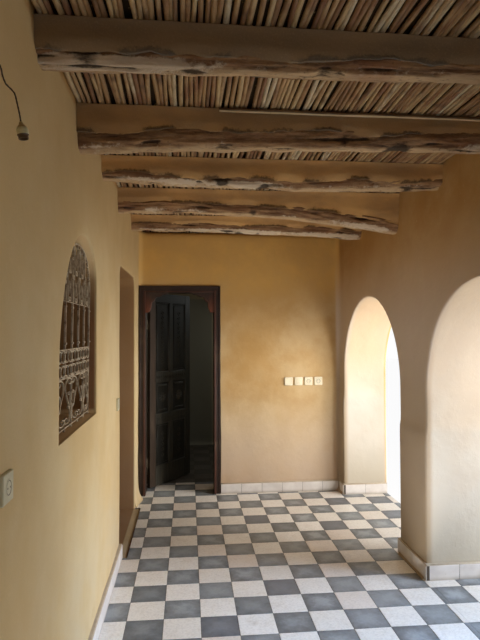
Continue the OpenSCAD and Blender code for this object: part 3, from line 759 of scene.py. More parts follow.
def tile_finish(name, painted_shade=0.0):
    f = Finish(name, roughness=0.42, Specular_IOR_Level=0.45)
    column = (f.axis(0) + GRID_X) / TILE
    row = (f.axis(1) - GRID_Y) / TILE
    cell_x, cell_y = column.math("FLOOR"), row.math("FLOOR")
    dark = 1 - (cell_x + cell_y).math("FLOORED_MODULO", 2.0)
    cell = f.node("ShaderNodeCombineXYZ", {}, {0: cell_x, 1: cell_y})
    chance = f.node("ShaderNodeTexWhiteNoise", {"noise_dimensions": "2D"}, {0: cell})
    chance_2 = f.node("ShaderNodeTexWhiteNoise", {"noise_dimensions": "3D"}, {0: cell})
    middle_x = (column - cell_x - 0.5).math("ABSOLUTE")
    middle_y = (row - cell_y - 0.5).math("ABSOLUTE")
    edge = middle_x.math("MAXIMUM", middle_y)
    clouds = f.noise(17.0, 5, 0.65)
    wear = f.noise(2.6, 4, 0.6).step(0.35, 0.7)
    cloudy_edge = edge + (clouds - 0.5) * 0.7
    grey = f.layers(
        tint(110, 115, 118),
        (chance, tint(142, 147, 149)),
        (cloudy_edge.step(0.42, 0.05) * (0.3 + chance_2 * 0.5), tint(180, 186, 190)),
        (cloudy_edge.step(0.38, 0.56) * 0.55, tint(84, 88, 90)),
        (chance.step(0.86, 0.9) * 0.55, tint(80, 82, 92)))
    grime = f.noise(5.0, 5, 0.7).step(0.6, 0.85)
    f.colour(f.layers(
        tint(240, 233, 222),
        (chance, tint(248, 244, 237)),
        (clouds.step(0.45, 0.8) * 0.4, tint(222, 210, 190)),
        (chance_2.step(0.72, 1.0) * 0.35, tint(206, 176, 152)),
        (dark, grey),
        (grime * 0.35 + wear * 0.1, tint(168, 148, 118)),
        ((f.noise(90.0, 2) - 0.42).math("MAXIMUM", 0.0) * 0.6, tint(120, 108, 90)),
        (painted_shade, tint(70, 62, 50))))
    f.gloss(0.34 + clouds * 0.18 + wear * 0.12)
    f.relief(f.noise(45.0, 3) * 0.5 + clouds * 0.5, 0.0008, 0.6)
    return f


TILE_FINISH = tile_finish("cement tile")
# The room's tiles are darkened almost to black: painted shade of the dim room.
ROOM_TILE = tile_finish("sooty cement tile", 0.94)


def mortar_finish(name, dark, pale, joints_below=None):
    """Mortar, with dirty joints below a level if one is given."""
    f = Finish(name, roughness=0.95)
    colour = f.mix(f.noise(35.0, 4), dark, pale)
    if joints_below:
        colour = f.mix(f.axis(2).step(joints_below, joints_below - 0.003), colour, tint(82, 72, 62))
    f.colour(colour)
    f.relief(f.noise(120.0, 3), 0.001)
    return f


MORTAR = mortar_finish("grey mortar", tint(88, 80, 68), tint(126, 115, 98))

# %% [markdown]
# The tiles are real slabs laid in a bed. Each one gets a chamfer at its joints and
# sits up to half a millimetre lower than its neighbour, which is what breaks up the
# reflection of the arches. A tile that a wall cuts is drawn only to the wall.

# %% Lay the tiles
JOINT = 0.0012
SETTLE = 0.0006
TILE_CHAMFER = 0.0012
LEAST_SLIVER = 0.006
BED_DEPTH = 0.0022
STEP_EDGE = STEP_BOX[1][0]
ARCH_OUT = cad_high[0]
TILE_BOTTOM = BED_LEVEL + 0.006
ENTRANCE_EDGE = cad_low[1] + 0.01
random.seed(11)


def lay(shape, low_x, high_x, low_y, high_y):
    """Tiles of the common grid inside a rectangle, with joints only on grid lines."""
    for i in range(math.floor((low_x + GRID_X) / TILE), math.ceil((high_x + GRID_X) / TILE)):
        for j in range(math.floor((low_y - GRID_Y) / TILE), math.ceil((high_y - GRID_Y) / TILE)):
            left, right = i * TILE - GRID_X + JOINT, (i + 1) * TILE - GRID_X - JOINT
            near, far = j * TILE + GRID_Y + JOINT, (j + 1) * TILE + GRID_Y - JOINT
            low = (max(left, low_x), max(near, low_y), TILE_BOTTOM)
            high = (min(right, high_x), min(far, high_y), FLOOR - random.uniform(0, SETTLE))
            if high[0] - low[0] > LEAST_SLIVER and high[1] - low[1] > LEAST_SLIVER:
                shape.box(low, high, TILE_CHAMFER)


def floor_parts(inset):
    """The rectangles of the gallery's floor, with an inset where it ends at an outer face."""
    near = ENTRANCE_EDGE + inset
    main = [(STEP_EDGE, ARCADE_FACE, near, END_FACE)]
    beside_step = [(WINDOW_FACE, STEP_EDGE, near, STEP_BOX[0][1]),
                   (WINDOW_FACE, STEP_EDGE, STEP_BOX[1][1], END_FACE)]
    arches = [(ARCADE_FACE, ARCH_OUT - inset, far - ARCH_WIDTH, far) for far in ARCH_FAR]
    return main + beside_step + arches + [(WINDOW_FACE, PORTAL_RIGHT, END_FACE, END_BACK)]


ROOM_FLOOR = (WINDOW_FACE, ARCADE_FACE, END_BACK, ROOM_BACK)
tiles = Shape()
for rectangle in floor_parts(0.0):
    lay(tiles, *rectangle)
show("gallery_tiles", tiles, TILE_FINISH, ("gallery_floor",))
tiles = Shape()
lay(tiles, *ROOM_FLOOR)
show("room_tiles", tiles, ROOM_TILE, ("room_floor",))

# %% The bed of mortar that shows in the joints
bed = Shape()
for low_x, high_x, low_y, high_y in floor_parts(0.002) + [ROOM_FLOOR]:
    bed.box((low_x, low_y, BED_LEVEL), (high_x, high_y, FLOOR - BED_DEPTH))
show("tile_bed", bed, MORTAR)

# %% [markdown]
# The ceiling is a single layer of giant reed, laid over the logs bay by bay. A reed
# tapers, swells at each joint of its stem and never lies quite straight, so the reeds
# fan out, cross a little, and dark gaps open between them. Each reed keeps numbers
# for its shade and for its own stains, because one texture over all of them would
# look printed.

# %% Cane finish
def cane_finish():
    f = Finish("peeled cane", roughness=0.66, Specular_IOR_Level=0.3)
    tone, ring, age = f.mark("tone"), f.mark("ring"), f.mark("age")
    fibre = f.noise(70.0, 4, 0.65, (5.0, 0.3, 5.0))
    blotches = f.noise(16.0, 5, 0.65, (1.0, 0.5, 1.0))
    f.colour(f.layers(
        tint(132, 98, 68),
        (tone.step(0.0, 0.35), tint(172, 138, 96)),
        (tone.step(0.35, 0.8), tint(194, 166, 122)),
        (tone.step(0.88, 0.96), tint(206, 188, 154)),
        (fibre.step(0.38, 0.75) * 0.5, tint(118, 92, 68)),
        ((blotches + age * 0.25).step(0.55, 0.85) * 0.7, tint(122, 76, 52)),
        (blotches.step(0.28, 0.1) * 0.5, tint(96, 84, 66)),
        (ring.step(0.25, 1.0) * 0.65, tint(88, 66, 48))))
    f.gloss(0.55 + fibre * 0.3)
    f.relief(fibre * 0.6 + blotches * 0.4, 0.0012, 0.8)
    return f


CANE = cane_finish()

# %% [markdown]
# One reed is a ring of eight points, swept along it in short steps. At each joint of
# its stem it swells and darkens. One seed gives the same ceiling on every run.

# %% One cane
CANE_SIDES = 8
CANE_STEP = 0.066
CANE_THICK = (0.0078, 0.0106)
CANE_OVERLAP = 0.05
CANE_LOW, CANE_HIGH = (corner[1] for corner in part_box("cane_ceiling"))
STEM_JOINTS = (0.13, 0.22)
JOINT_HALF, JOINT_SWELL = 0.016, 0.12
TAPER, SWAY, SWAY_SCALE = 0.14, 0.008, 2.4
CANE_REST = 0.0004
FAN = 0.035
SKEW = 0.016
GAP_CHANCE = 0.28
CANE_GAPS = (0.003, 0.010)
CANE_INSET = 0.012
random.seed(23)


def cane_run(shape, x, start, stop, radius, lean):
    """One stem from start to stop along the gallery, with its stem joints and bends."""
    count = max(4, int((stop - start) / CANE_STEP))
    joint_gap = random.uniform(*STEM_JOINTS)
    joint_shift = random.uniform(0, joint_gap)
    phase = random.uniform(0, 50)
    tone, age = random.random(), random.random()
    taper = random.uniform(-TAPER, TAPER)
    lift = random.uniform(0, 1) ** 2 * 0.5
    rings, rings_marks = [], []
    for k in range(count + 1):
        share = k / count
        y = start + (stop - start) * share
        to_joint = abs((y + joint_shift) % joint_gap - joint_gap / 2)
        close = max(0.0, 1 - to_joint / JOINT_HALF)
        r = radius * (1 + taper * (share - 0.5)) * (1 + JOINT_SWELL * close)
        sway = SWAY * wobble(phase, y * SWAY_SCALE, 0)
        middle_x = x + lean * (y - (start + stop) / 2) + sway
        middle_x = min(max(middle_x, WINDOW_FACE + r), ARCADE_FACE - r)
        room_above = max(0.0, CANE_TOP - CANE_LEVEL - 2 * r - 0.001)
        middle_z = CANE_LEVEL + r + CANE_REST + room_above * lift
        rings.append([
            (middle_x + r * math.sin(a), y, min(middle_z - r * math.cos(a), CANE_TOP - 0.0005))
            for a in turns(CANE_SIDES, 0.5)])
        rings_marks += [close] * CANE_SIDES
    shape.rings(rings, tone=tone, age=age, ring=rings_marks)


# %% [markdown]
# The reeds end over the logs, and the logs bow. Where each log runs is read from its
# solid: its points are sorted into logs along the gallery, and each slice across a log
# gives a middle and a radius.

# %% Read each beam's bow from its solid
BEAM_GAP = 0.2
SLICE = 0.002


def cross_sections(node):
    """For each solid of a node: places along X with the middle and the radius there."""
    points = np.array([vertex.co for vertex in frame["nodes"][node].data.vertices])
    groups = []
    for y in sorted(points[:, 1]):
        if not groups or y - groups[-1][-1] > BEAM_GAP:
            groups.append([y])
        groups[-1].append(y)
    beams = []
    for group in groups:
        mine = points[(points[:, 1] >= min(group) - 0.001) & (points[:, 1] <= max(group) + 0.001)]
        stations = []
        for x in sorted(set(np.round(mine[:, 0], 3))):
            ring = mine[np.abs(mine[:, 0] - x) < SLICE]
            low, high = ring.min(axis=0), ring.max(axis=0)
            stations.append((x, (low[1] + high[1]) / 2, low[2], (high[1] - low[1]) / 2))
        beams.append(stations)
    return beams


def beam_at(stations, x):
    """The middle, the lowest level and the radius of a beam at a place along it."""
    xs = [s[0] for s in stations]
    return [np.interp(x, xs, [s[k] for s in stations]) for k in (1, 2, 3)]


def middles(sections):
    return [stations[len(stations) // 2][1] for stations in sections]


# %% Lay the canes bay by bay
gallery_sections = cross_sections("gallery_beams")
room_sections = cross_sections("room_beams")
log_places = middles(gallery_sections) + [(END_FACE + END_BACK) / 2] + middles(room_sections)
ends = [CANE_LOW] + log_places + [CANE_HIGH]
canes = Shape()
for near, far in zip(ends, ends[1:]):
    phase = random.uniform(0, 50)
    x = WINDOW_FACE + CANE_INSET
    while x < ARCADE_FACE - CANE_INSET:
        radius = random.uniform(*CANE_THICK)
        lean = FAN * wobble(x * 1.6, phase, 0) + random.gauss(0, SKEW)
        first = max(CANE_LOW + 0.003, near - random.uniform(0.2, 1.0) * CANE_OVERLAP)
        last = min(CANE_HIGH - 0.003, far + random.uniform(0.2, 1.0) * CANE_OVERLAP)
        cane_run(canes, x, first, last, radius, lean)
        x += radius * 2 * random.uniform(1.0, 1.14)
        if random.random() < GAP_CHANCE:
            x += random.uniform(*CANE_GAPS)
show("canes", canes, CANE, ("cane_ceiling",), smooth_all=True)

# %% [markdown]
# Each beam is a rough palm or poplar log. Its back is buried in mud that was pushed
# up to the canes. Below, the mud has torn off in a ragged edge, dark partly from bark
# left under it and partly from painted shade. The fibrous underside stays bare, with
# flakes of old whitewash, and it is painted paler as painted light from the floor; its
# pits are darkened with painted shade. The shape is swept again from the solid's own
# cross-sections, so the log keeps its bow and only its surface gets rougher.

# %% Log and mud finishes
def log_finish():
    f = Finish("weathered log", roughness=0.9, Specular_IOR_Level=0.2)
    fibre = f.noise(34.0, 5, 0.7, (0.14, 1.0, 1.0))
    coarse = f.noise(9.0, 5, 0.65, (0.45, 1.0, 1.0))
    crumbs = f.noise(85.0, 4, 0.65, (0.5, 1.0, 1.0))
    hollow, wash, under = f.mark("hollow"), f.mark("wash"), f.mark("under")
    # The underside of a log is painted paler: painted light thrown up from the floor.
    rubbed = (under + (coarse - 0.5) * 0.9 + (fibre - 0.5) * 0.5).step(0.45, 0.95)
    flakes = (wash + f.noise(30.0, 5, 0.72) * 0.9).step(0.78, 1.02)
    f.colour(f.layers(
        tint(104, 76, 54),
        (fibre.step(0.35, 0.68), tint(170, 134, 96)),
        (coarse.step(0.42, 0.7) * 0.65, tint(126, 88, 62)),
        (rubbed * 0.8, tint(206, 176, 136)),
        (f.noise(4.0, 3).step(0.55, 0.75) * 0.4, tint(150, 100, 72)),
        (crumbs.step(0.55, 0.75) * 0.65, tint(84, 62, 46)),
        (flakes * 0.85, f.mix(crumbs, tint(198, 176, 148), tint(224, 208, 184))),
        # Pits, knots and fibre grooves are darkened nearly to black: painted shade.
        ((hollow + (crumbs - 0.5) * 0.8).step(0.3, 0.85) * 0.9, tint(46, 34, 25))))
    f.relief(fibre * 0.4 + crumbs * 0.5 + flakes * 0.3, 0.009, 0.95)
    return f


def mud_finish():
    f = Finish("mud rib", roughness=0.92, Specular_IOR_Level=0.2)
    clouds = f.noise(3.0, 5, 0.62, (0.7, 1.0, 1.6)).step(0.32, 0.72)
    torn = (f.mark("hollow") + (f.noise(40.0, 4, 0.7) - 0.5) * 1.3).step(0.35, 0.85)
    f.colour(f.layers(
        tint(176, 140, 96),
        (clouds, tint(218, 172, 110)),
        (f.noise(1.6, 3).step(0.45, 0.75) * 0.5, tint(156, 122, 82)),
        # The torn foot is dark, partly from bark left under it and partly from painted shade.
        (torn * 0.8, tint(60, 45, 34)),
        # Ribs nearer the entrance turn greyer and darker: painted shade.
        (f.axis(1).step(-0.9, -2.1) * 0.7, tint(112, 104, 92)),
        (f.noise(150.0, 2).step(0.5, 0.75) * 0.2, tint(190, 162, 122))))
    f.relief(f.noise(16.0, 5, 0.6) * 0.6 + f.noise(120.0, 3) * 0.3 + torn * 0.6, 0.004, 0.85)
    return f


LOG_FINISH = log_finish()
MUD = mud_finish()

# %% Rough logs
LOG_STEP = 0.0105
BEAM_END = 0.04
LOG_UNDER_SIDES = 44
LOG_TOP_SIDES = 8
UNDER_LAP = 0.35
LOG_SHRINK = 0.985
LUMPS = ((0.009, 1.0), (0.006, 3.1))
CRUMBS = ((0.004, 1.0), (0.0025, 3.3))
FIBRE = 0.004
PIT_LEAST, PIT_GROWTH, PIT_DEPTH = 0.24, 2.4, 0.011
KNOTS = 12
MUD_ANGLES = (10, 12, 27, 4, 24, 2, 0, 5, 5)
WASHES = (
    ((-1.0, 1.0, 0.35),),
    ((-1.0, 0.0, 0.5),),
    ((-1.0, -0.45, 0.75), (-0.45, 1.0, 0.36)),
    ((-1.0, -0.80, 0.62), (-0.72, -0.3, 0.45), (0.72, 1.0, 0.8)),
    ((-1.0, 0.2, 0.62), (0.2, 1.0, 0.5)),
    ((-0.9, -0.4, 0.55), (0.0, 0.5, 0.36), (0.5, 1.0, 0.7)),
    ((-0.95, 0.95, 0.68),),
    ((-1.0, 1.0, 0.3),),
    ((-1.0, 0.2, 0.4),))
WASH_FADE = 0.22


def bumps(place, layers):
    """Noise at several sizes. Each layer is a depth in metres and a scale."""
    return sum(depth * noise.noise(place * scale) for depth, scale in layers)


def knots_of(stations):
    """A few knots and rotted hollows: place along the log, angle, size and depth."""
    start, stop = stations[0][0], stations[-1][0]
    return [
        (start + (stop - start) * random.random(), random.uniform(-2.6, -0.3),
         random.uniform(0.02, 0.07), random.uniform(-0.018, 0.008)) for _ in range(KNOTS)]


def fade(x, start, stop):
    """1 inside a stretch, falling softly to 0 at both of its ends."""
    ragged = 0.5 * wobble(x * 7.0, start, stop)
    return unit(min(x - start, stop - x) / WASH_FADE + 0.5 + ragged)


def log_skin(x, turn, radius, seed, knots):
    """How far the skin stands out at a place and an angle, how deep its pit is, and its fibre."""
    out = Vector((x * 2.2 + seed, math.cos(turn) * 1.3, math.sin(turn) * 1.3))
    fine = Vector((x * 9.0 + seed, math.cos(turn) * 7.5, math.sin(turn) * 7.5))
    fibre = wobble(x * 4 + seed, turn * 8.0, seed)
    shift = bumps(out, LUMPS) + FIBRE * fibre + bumps(fine, CRUMBS)
    pit = max(0.0, wobble(x * 6.2 + seed * 2, turn * 2.6, 4.0) - PIT_LEAST) * PIT_GROWTH
    shift -= PIT_DEPTH * min(1.0, pit)
    below = turn - 2 * math.pi if turn > math.pi else turn
    for place, angle, size, depth in knots:
        near = ((x - place) / size) ** 2 + ((below - angle) * radius / size) ** 2
        if near < 4:
            shift += depth * math.exp(-2 * near)
            pit += (0.9 if depth < 0 else 0.2) * math.exp(-2 * near)
    return shift, pit, fibre


def rough_log(shape, stations, washes):
    knots = knots_of(stations)
    seed = random.uniform(0, 90)
    first, last = math.pi - UNDER_LAP, 3 * math.pi - UNDER_LAP
    under = even(first, 2 * math.pi + UNDER_LAP, LOG_UNDER_SIDES)
    over = even(under[-1], last, LOG_TOP_SIDES)[1:-1]
    start = max(stations[0][0] + 0.002, WINDOW_FACE - BEAM_END)
    stop = min(stations[-1][0] - 0.002, ARCADE_FACE + BEAM_END)
    rings, hollow, wash, under_marks = [], [], [], []
    for x in even(start, stop, int((stop - start) / LOG_STEP)):
        y, low, radius = beam_at(stations, x)
        strength = max(s * fade(x, x0, x1) for x0, x1, s in washes)
        patch = 0.32 * wobble(x * 4.3 + seed, 2.0, seed)
        ring = []
        for a in under + over:
            shift, pit, fibre = log_skin(x, a, radius, seed, knots)
            r = radius * LOG_SHRINK + shift
            ring.append((x, y + r * math.cos(a), low + radius + r * math.sin(a)))
            hollow.append(min(1.0, pit * 0.9 + max(0.0, -fibre - 0.1) * 0.7))
            face = max(0.0, 1 - abs(math.sin(a) + 0.8) * 1.9) * (1.0 if math.cos(a) < 0.15 else 0.45)
            wash.append(unit(face * strength * (1 + 2 * patch)))
            under_marks.append(max(0.0, -math.sin(a)) ** 3)
        rings.append(ring)
    shape.rings(rings, hollow=hollow, wash=wash, under=under_marks)


# %% [markdown]
# The mud over a log has two columns of points per ring, one on each side, from the torn
# foot over the flank of the log up to a small fillet under the canes.

# %% Mud ribs
MUD_STEP = 0.0125
MUD_COVER = 0.012
MUD_ROWS = 12
FEATHER_ROWS = 4
LEAST_FOOT = 0.022
FILLET, FILLET_HEIGHT = 0.008, 0.035
TORN_LIP = 0.010
TORN_SIZES = ((0.008, 15.0), (0.003, 60.0))
POLE_LOW, POLE_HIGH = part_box("ceiling_pole")
POLE_CLEARANCE = 0.0006


def beside_pole(x, y, side, level):
    """How wide a rib may be at a level, so that the pole beside it stays in view."""
    beside = side < 0 and 0 < y - POLE_HIGH[1] < BEAM_GAP
    if beside and x > POLE_LOW[0] - 0.02 and level > POLE_LOW[2] - 0.012:
        return y - POLE_HIGH[1] - POLE_CLEARANCE
    return 1.0


def mud_side(x, side, seed, beam, angle):
    """One side's points from the torn foot up to the canes, and how torn each is."""
    y, low, radius = beam
    middle = low + radius
    swell = 0.006 * wobble(x * 1.8 + seed, side, 0)
    torn = 0.024 * wobble(x * 3.2 + seed, side, 3)
    torn += sum(depth * wobble(x * scale, side, seed) for depth, scale in TORN_SIZES)
    ragged = unit(0.5 + 2.6 * wobble(x * 5.5, side * 3.0, seed * 1.7))
    foot = max(middle - radius * math.sin(math.radians(angle)) + torn, low + LEAST_FOOT)
    inner = max(0.0, radius ** 2 - max(0.0, middle - foot) ** 2) ** 0.5 - MUD_COVER
    outer = inner + MUD_COVER + 0.35 * MUD_COVER * ragged
    points = [(x, y + side * inner, foot + TORN_LIP), (x, y + side * outer, foot - 0.001)]
    marks = [ragged, ragged]
    for n, level in enumerate(even(foot, CANE_LEVEL, MUD_ROWS)):
        flank = math.sqrt(max(0.0, radius ** 2 - max(0.0, middle - level) ** 2))
        fillet = FILLET * max(0.0, 1 - (CANE_LEVEL - level) / FILLET_HEIGHT) ** 2
        lump = 0.003 * wobble(x * 8 + seed, level * 9, side)
        feather = ragged + (1 - ragged) * min(1.0, n / FEATHER_ROWS)
        wide = flank + (MUD_COVER + swell) * feather + fillet + lump
        points.append((x, y + side * min(wide, beside_pole(x, y, side, level)), level))
        marks.append(ragged * max(0.0, 1 - n / (MUD_ROWS * 0.3)))
    return points, marks


def mud_rib(shape, stations, angle, x0, x1):
    """Mud over a log's back: wide at the canes, smooth on the flank, torn off below."""
    seed = random.uniform(0, 90)
    rings, hollow = [], []
    for x in even(x0, x1, int((x1 - x0) / MUD_STEP)):
        beam = beam_at(stations, x)
        far_points, far_marks = mud_side(x, 1, seed, beam, angle)
        near_points, near_marks = mud_side(x, -1, seed, beam, angle)
        rings.append(far_points + near_points[::-1])
        hollow += far_marks + near_marks[::-1]
    shape.rings(rings, hollow=hollow)


random.seed(5)
gallery_washes, room_washes = WASHES[:BEAMS_IN_GALLERY], WASHES[BEAMS_IN_GALLERY:]
for name, node, sections, all_washes in (
        ("rough_logs", "gallery_beams", gallery_sections, gallery_washes),
        ("room_logs", "room_beams", room_sections, room_washes)):
    logs = Shape()
    for stations, washes in zip(sections, all_washes):
        rough_log(logs, stations, washes)
    show(name, logs, LOG_FINISH, (node,), smooth_all=True)
ribs = Shape()
for stations, angle in zip(gallery_sections + room_sections, MUD_ANGLES):
    mud_rib(ribs, stations, angle, WINDOW_FACE - 0.02, ARCADE_FACE + 0.02)
show("mud_ribs", ribs, MUD, ("beam_plaster",))
print("log radii", [round(stations[0][3], 3) for stations in gallery_sections])

# %% [markdown]
# Along one log lies a thin pole, pushed up under the canes. It is a stripped branch,
# dark along its shadowed top, and its lower edge is painted paler: painted light.

# %% Pole beside the log
def pole_finish():
    f = Finish("pole bark", roughness=0.85, Specular_IOR_Level=0.25)
    fibre = f.noise(60.0, 4, 0.65, (0.12, 1.0, 1.0))
    bark_rings = f.noise(9.0, 3, 0.7, (9.0, 0.4, 0.4)).step(0.6, 0.75)
    # A pale line along the pole's lower edge: painted light.
    rubbed = (f.mark("rubbed") + (fibre - 0.5) * 0.5).step(0.66, 0.9) * (1 - bark_rings * 0.5)
    f.colour(f.layers(
        tint(104, 82, 62),
        (fibre.step(0.35, 0.7), tint(146, 116, 86)),
        (bark_rings * 0.6, tint(60, 46, 36)),
        (rubbed, tint(206, 182, 142))))
    f.relief(fibre, 0.002, 0.9)
    return f


POLE_STEP = 0.012
POLE_SIDES = 14
POLE_LEAST = 0.0088
POLE_BEND_Y, POLE_BEND_Z = 0.0018, 0.0012
POLE_BARK, POLE_BUMP = 0.0008, 0.0012
LIT_SIDE_TURN = 0.62 * math.pi
pole = Shape()
pole_rings, rubbed = [], []
pole_count = int((POLE_HIGH[0] - POLE_LOW[0]) / POLE_STEP)
pole_y, pole_z = (POLE_LOW[1] + POLE_HIGH[1]) / 2, (POLE_LOW[2] + POLE_HIGH[2]) / 2
for x in even(POLE_LOW[0], POLE_HIGH[0], pole_count):
    middle_y = pole_y + POLE_BEND_Y * wobble(x * 3, 7, 1)
    middle_z = pole_z + POLE_BEND_Z * wobble(x * 4, 1, 7)
    ring = []
    for a in turns(POLE_SIDES):
        r = POLE_LEAST + POLE_BARK * wobble(x * 30, math.cos(a) * 2, math.sin(a) * 2)
        r += POLE_BUMP * max(0.0, wobble(x * 9, math.cos(a), math.sin(a)))
        ring.append((x, middle_y + r * math.cos(a), middle_z + r * math.sin(a)))
        rubbed.append(max(0.0, math.cos(a + LIT_SIDE_TURN)))
    pole_rings.append(ring)
pole.rings(pole_rings, rubbed=rubbed)
show("pole", pole, pole_finish(), ("ceiling_pole",), smooth_all=True)

# %% [markdown]
# Rain and feet keep the roof mud soft and lumpy, so its top is a grid that noise
# lifts. It stays under the solid's top by the height of the lumps.

# %% Roof earth
def lifted_slab(low, high, columns, rows, top):
    """A slab whose upper face is a grid, at the level that top gives for each point."""
    slab_rings = []
    for y in even(low[1], high[1], rows):
        upper = [(x, y, top(x, y)) for x in even(low[0], high[0], columns)]
        slab_rings.append(upper + [(high[0], y, low[2]), (low[0], y, low[2])])
    shape = Shape()
    shape.rings(slab_rings)
    return shape


def roof_finish():
    f = Finish("roof mud", roughness=0.96, Specular_IOR_Level=0.15)
    straw = f.noise(60.0, 3, 0.6, (1.0, 0.3, 1.0)).step(0.62, 0.72)
    f.colour(f.layers(
        tint(150, 116, 76),
        (f.noise(2.2, 5, 0.62).step(0.35, 0.7), tint(186, 154, 108)),
        # Just above the canes the roof mud is nearly black, so the gaps between canes look dark: painted
        # shade.
        (f.axis(2).step(CANE_TOP + 0.03, CANE_TOP + 0.005) * 0.9, tint(34, 27, 21)),
        (straw * 0.5, tint(210, 188, 130))))
    f.relief(f.noise(22.0, 5, 0.7) * 0.7 + f.noise(120.0, 2) * 0.3, 0.008, 0.9)
    return f


ROOF_STEP = 0.09
EARTH_FALL = 0.04
ROOF_SINK = 0.02
ROOF_LUMPS = ((0.012, 1.7), (0.006, 6))
roof_low, roof_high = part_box("roof_earth")


def roof_level(x, y):
    lump = sum(depth * wobble(x * scale, y * scale, 2) for depth, scale in ROOF_LUMPS)
    share = (x - WINDOW_FACE) / (ARCADE_FACE - WINDOW_FACE)
    return roof_high[2] - ROOF_SINK - EARTH_FALL * share + lump


roof = lifted_slab(
    (WINDOW_FACE, roof_low[1], roof_low[2]), (ARCADE_FACE, roof_high[1], roof_high[2]),
    int((ARCADE_FACE - WINDOW_FACE) / ROOF_STEP), int((roof_high[1] - roof_low[1]) / ROOF_STEP), roof_level)
show("roof_mud", roof, roof_finish(), ("roof_earth",))

# %% [markdown]
# The woodwork is softwood stained almost black, worn back to red-brown on the edges
# that hands touch. A frame is never one flat board: it has a bead, a sunk face and
# an inner edge, and each part is a chamfered box so that its edges catch light.

# %% Stained wood finish
def wood_finish(name, dark, light, worn, painted_top_shade=0.0):
    f = Finish(name, roughness=0.5, Specular_IOR_Level=0.4)
    grain = f.noise(26.0, 5, 0.65, (3.0, 3.0, 0.12))
    pores = f.noise(150.0, 3, 0.6, (2.0, 2.0, 0.07))
    dust = f.noise(5.0, 4).step(0.5, 0.8)
    coats = [
        (grain.step(0.35, 0.7), light),
        (pores.step(0.55, 0.75) * 0.5, dark),
        (f.noise(11.0, 4, 0.6).step(0.55, 0.8) * 0.5, worn),
        (dust * 0.12, tint(150, 132, 108)),
        (f.mark("deep") * 0.6, tint(16, 15, 13)),
        (f.mark("red") * 0.8, tint(112, 60, 40))]
    # Towards the top the wood is darkened almost to black: painted shade.
    if painted_top_shade:
        coats.append((f.axis(2).step(1.45, 2.0) * painted_top_shade, tint(18, 17, 14)))
    f.colour(f.layers(dark, *coats))
    f.gloss(0.4 + grain * 0.2 + dust * 0.15)
    f.relief(grain * 0.6 + pores * 0.4, 0.0008, 0.7)
    return f


FRAME_WOOD = wood_finish("stained frame wood", tint(38, 24, 17), tint(53, 34, 24), tint(66, 44, 32))
BEAD_WOOD = wood_finish("reddish bead wood", tint(62, 36, 27), tint(84, 50, 37), tint(97, 60, 45))
LEAF_WOOD = wood_finish("dark leaf wood", tint(52, 50, 43), tint(78, 75, 64), tint(90, 84, 71), 0.8)
STILE_WOOD = wood_finish("worn stile wood", tint(56, 44, 34), tint(76, 60, 46), tint(90, 72, 56))
BOARD_WOOD = wood_finish("weathered boards", tint(50, 36, 28), tint(84, 62, 46), tint(106, 82, 60))

# %% Door frame
frame_low, frame_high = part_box("door_frame")
FACE_WIDTH = 0.062
OUTER_BEAD = 0.016
INNER_BEAD = 0.02
SINK = 0.007
BEAD_LAP = 0.004
BODY_EDGE, OUTER_EDGE, INNER_EDGE = 0.002, 0.003, 0.004
front, back, top = frame_low[1], frame_high[1], frame_high[2]
bead_back = front + SINK + BEAD_LAP
head_low = top - FACE_WIDTH
bead_top = head_low + INNER_BEAD
timber, beads = Shape(), Shape()
for outer_x, inward in ((frame_low[0], 1), (frame_high[0], -1)):
    for shape, start, stop, near, far, high, edge in (
            (timber, 0, FACE_WIDTH, front + SINK, back, top, BODY_EDGE),
            (timber, 0, OUTER_BEAD, front, bead_back, top, OUTER_EDGE),
            (beads, FACE_WIDTH - INNER_BEAD, FACE_WIDTH, front, bead_back, bead_top, INNER_EDGE)):
        left, right = sorted((outer_x + inward * start, outer_x + inward * stop))
        shape.box((left, near, FLOOR), (right, far, high), edge)
HEAD_INSET = 0.004
left, right = frame_low[0] + HEAD_INSET, frame_high[0] - HEAD_INSET
timber.box((left, front + SINK - 0.001, head_low), (right, back, top - 0.001), BODY_EDGE)
left, right = frame_low[0] + HEAD_INSET / 2, frame_high[0] - HEAD_INSET / 2
timber.box((left, front + 0.0005, top - OUTER_BEAD), (right, bead_back, top), OUTER_EDGE)
left, right = frame_low[0] + FACE_WIDTH - 0.01, frame_high[0] - FACE_WIDTH + 0.01
beads.box((left, front + 0.0005, head_low), (right, bead_back, head_low + INNER_BEAD * 0.6), INNER_EDGE)
show("inner_beads", beads, BEAD_WOOD)
show("frame_timber", timber, FRAME_WOOD, ("door_frame",))

# %% [markdown]
# The boards in the frame's upper corners are sawn into lobes. Each lobe is a straight
# line between two cusps, bowed into the opening by a sine. A rim is laid along the
# lobes, and a small flower of eight petals stands in the corner.

# %% Lobed boards in the corners of the frame
lobe_low, lobe_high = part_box("door_lobes")
LOBE_WIDTH = 0.225
LOBE_CUSPS = ((0.15, 0.03), (0.26, 0.50), (0.46, 0.76), (0.74, 0.87), (1.0, 0.97))
LOBE_BOW = 0.09
LOBE_POINTS = 10
BOARD_BEVEL = 0.004
RIM_IN, RIM_UP, RIM_RADIUS = 0.013, 0.010, 0.0022
ROSETTE_IN, ROSETTE_DOWN, PETALS, PETAL_LENGTH = 0.062, 0.055, 8, 0.02
lobe_height = lobe_high[2] - lobe_low[2]


def lobed_edge():
    """Lobes that bow into the opening, as points across and up from the board's lower tip."""
    cusps = [(a * LOBE_WIDTH, b * lobe_height) for a, b in LOBE_CUSPS]
    edge = [cusps[0]]
    for (a0, b0), (a1, b1) in zip(cusps, cusps[1:]):
        for k in range(1, LOBE_POINTS + 1):
            share = k / LOBE_POINTS
            bow = LOBE_BOW * math.sin(math.pi * share)
            across = a0 + (a1 - a0) * share + bow * (b1 - b0)
            edge.append((across, b0 + (b1 - b0) * share - bow * (a1 - a0)))
    return edge


